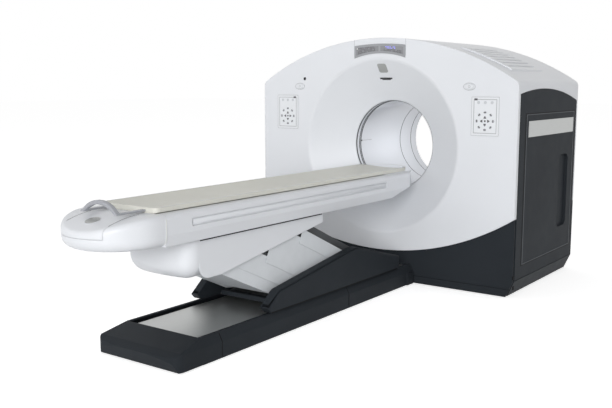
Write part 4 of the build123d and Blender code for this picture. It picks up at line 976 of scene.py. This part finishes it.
class SCANNER_OT_nose(ScannerOperator):
    """Add the blank inlay on the nose, the strips in the side grooves, the table's joint lines, and dark
    strips of painted shade on the hull under the side covers' edges
    """

    bl_idname = "scanner.nose"
    bl_label = "Table trim"

    def execute(self, context):
        _, sizes, _ = settings()
        self.inlay(sizes.inlay_width / 2)
        strips, joints, beads = bmesh.new(), bmesh.new(), bmesh.new()
        tree = surface(("nose_cover", "nose_top_panel"))
        down = Vector((0, 0, -1))
        for side in (-1, 1):
            inward = Vector((-side, 0, 0))
            made = slab_mesh(strips, side_span(side, groove_floor, bar_sink, strip_rise), groove_y, groove_z)
            round_edges(strips, strip_round, 3, edges_of(made))
            # Dark strip on the hull's flank: painted shade under the overhanging side cover's lower edge
            x_span = side_span(side, hull_half, bar_sink, hull_shade_rise)
            slab_mesh(joints, x_span, hull_shade_y, hull_shade_z)
            starts = [Vector((side * lid_half, y, roof_top)) for y in steps_between(*lid_y)]
            ribbon_mesh(joints, tree, starts, down, Vector((lid_line, 0, 0)), line_rise)
            starts = [Vector((side, bead_y, z)) for z in steps_between(*bead_z)]
            ribbon_mesh(beads, tree, starts, inward, Vector((0, bead_half, 0)), bead_rise)
        piece("table_groove_strips", strips, "white", "table")
        piece("table_joint_lines", joints, "gap", "table")
        piece("nose_joint_beads", beads, "edge", "table")
        return {"FINISHED"}

    def inlay(self, radius):
        """A thin blank disc on the crown of the nose."""
        lean = asin(inlay_run / crown_radius)
        normal = Vector((0, -sin(lean), cos(lean)))
        centre = Vector((0, crown_y, crown_top - crown_radius))
        place = face_matrix(centre + normal * (crown_radius + inlay_rise), (1, 0, 0), normal)
        bm = bmesh.new()
        rim = disc_mesh(bm, radius, inlay_thick, place, segments=64)
        round_edges(bm, inlay_round, 3, rim)
        piece("nose_inlay", bm, "badge", "table")


class SCANNER_OT_stage(ScannerOperator):
    """Set the floor, the light and the camera"""

    bl_idname = "scanner.stage"
    bl_label = "Stage"

    def execute(self, context):
        _, _, stage = settings()
        self.floor(stage)
        self.world(stage)
        self.lamp("front_lamp", (8.2, -18.2, 4.8), target=(0.0, -0.6, 0.9), size=10.0, watts=stage.key_power)
        self.lamp("left_lamp", (-5.5, -5.0, 4.0), target=(0.0, -0.8, 0.8), size=4.0, watts=stage.fill_power)
        self.beam("bore_lamp", (2.4, 4.6, 1.5), target=(0.0, 0.75, bore_z), watts=stage.bore_power)
        self.camera(stage)
        return {"FINISHED"}

    def seen(self, tree):
        """One where a camera, glossy or transmission ray looks, and nought elsewhere."""
        path = tree.nodes.new("ShaderNodeLightPath")
        total = path.outputs["Is Camera Ray"]
        for ray in ("Is Glossy Ray", "Is Transmission Ray"):
            add = tree.nodes.new("ShaderNodeMath")
            add.operation = "MAXIMUM"
            tree.links.new(total, add.inputs[0])
            tree.links.new(path.outputs[ray], add.inputs[1])
            total = add.outputs["Value"]
        return total

    def floor(self, stage):
        """A wide pale floor that looks white and keeps the shadow."""
        bm = bmesh.new()
        drop = Matrix.Translation((0, 0, -floor_drop))
        bmesh.ops.create_grid(bm, x_segments=1, y_segments=1, size=floor_size, matrix=drop)
        mesh = bpy.data.meshes.new("floor")
        bm.to_mesh(mesh)
        bm.free()
        floor = bpy.data.objects.new("floor", mesh)
        bpy.context.scene.collection.objects.link(floor)
        material = bpy.data.materials.new("floor")
        material.use_nodes = True
        tree = material.node_tree
        shader = tree.nodes["Principled BSDF"]
        shader.inputs["Base Color"].default_value = (*stage.floor_colour, 1.0)
        shader.inputs["Roughness"].default_value = 0.9
        shader.inputs["Specular IOR Level"].default_value = 0.0
        shader.inputs["Emission Color"].default_value = (1.0, 1.0, 1.0, 1.0)
        glow = tree.nodes.new("ShaderNodeMath")
        glow.operation = "MULTIPLY"
        glow.inputs[1].default_value = floor_glow
        tree.links.new(self.seen(tree), glow.inputs[0])
        tree.links.new(glow.outputs["Value"], shader.inputs["Emission Strength"])
        mesh.materials.append(material)

    def world(self, stage):
        """White all round, at a lower level where it only lights the object."""
        world = bpy.data.worlds.new("studio")
        bpy.context.scene.world = world
        world.use_nodes = True
        tree = world.node_tree
        background = tree.nodes["Background"]
        background.inputs["Color"].default_value = (1.0, 1.0, 1.0, 1.0)
        level = tree.nodes.new("ShaderNodeMapRange")
        level.inputs["To Min"].default_value = stage.sky_level
        level.inputs["To Max"].default_value = 1.0
        tree.links.new(self.seen(tree), level.inputs["Value"])
        tree.links.new(level.outputs["Result"], background.inputs["Strength"])

    def lamp(self, name, place, target, size, watts):
        """A soft round lamp."""
        data = bpy.data.lights.new(name, "AREA")
        data.shape = "DISK"
        data.size = size
        self.aim(data, place, target, watts)

    def beam(self, name, place, target, watts):
        """A narrow lamp that leaves no highlight."""
        data = bpy.data.lights.new(name, "SPOT")
        data.spot_size = radians(7.0)
        data.spot_blend = 0.3
        data.shadow_soft_size = 0.25
        self.aim(data, place, target, watts).visible_glossy = False

    def aim(self, data, place, target, watts):
        """Sets a lamp's power, stands it in its place and turns it to its target."""
        data.energy = watts
        lamp = bpy.data.objects.new(data.name, data)
        lamp.location = place
        lamp.rotation_euler = (Vector(target) - Vector(place)).to_track_quat("-Z", "Y").to_euler()
        bpy.context.scene.collection.objects.link(lamp)
        return lamp

    def camera(self, stage):
        """A camera in front, to the right of the table."""
        data = bpy.data.cameras.new("camera")
        data.lens = stage.lens
        data.sensor_width = 36.0
        data.clip_end = 200.0
        camera = bpy.data.objects.new("camera", data)
        camera.location = camera_place
        camera.rotation_euler = [radians(angle) for angle in camera_angles]
        bpy.context.scene.collection.objects.link(camera)
        bpy.context.scene.camera = camera


class SCANNER_PT_panel(bpy.types.Panel):
    """Sidebar list of the scanner's operators and settings"""

    bl_idname = "SCANNER_PT_panel"
    bl_label = "Scanner"
    bl_space_type = "VIEW_3D"
    bl_region_type = "UI"
    bl_category = "Scanner"

    def draw(self, context):
        for operator in operators:
            self.layout.operator(operator.bl_idname)
        for group in settings():
            for name in group.__annotations__:
                self.layout.prop(group, name)


operators = (
    SCANNER_OT_finishes, SCANNER_OT_badge, SCANNER_OT_display, SCANNER_OT_keys, SCANNER_OT_stops,
    SCANNER_OT_sides, SCANNER_OT_seams, SCANNER_OT_bore, SCANNER_OT_cradle, SCANNER_OT_nose, SCANNER_OT_stage,
)
groups = {
    "scanner_colours": ScannerColours, "scanner_sizes": ScannerSizes, "scanner_stage": ScannerStage,
}


def register():
    for cls in (*groups.values(), *operators, SCANNER_PT_panel):
        bpy.utils.register_class(cls)
    for name, group in groups.items():
        setattr(bpy.types.Scene, name, PointerProperty(type=group))


def unregister():
    for name in groups:
        delattr(bpy.types.Scene, name)
    for cls in reversed((*groups.values(), *operators, SCANNER_PT_panel)):
        bpy.utils.unregister_class(cls)


def main():
    register()
    scene = bpy.context.scene
    scene.view_settings.view_transform = "Standard"
    for operator in operators:
        family, name = operator.bl_idname.split(".")
        getattr(getattr(bpy.ops, family), name)()


if __name__ == "__main__":
    main()
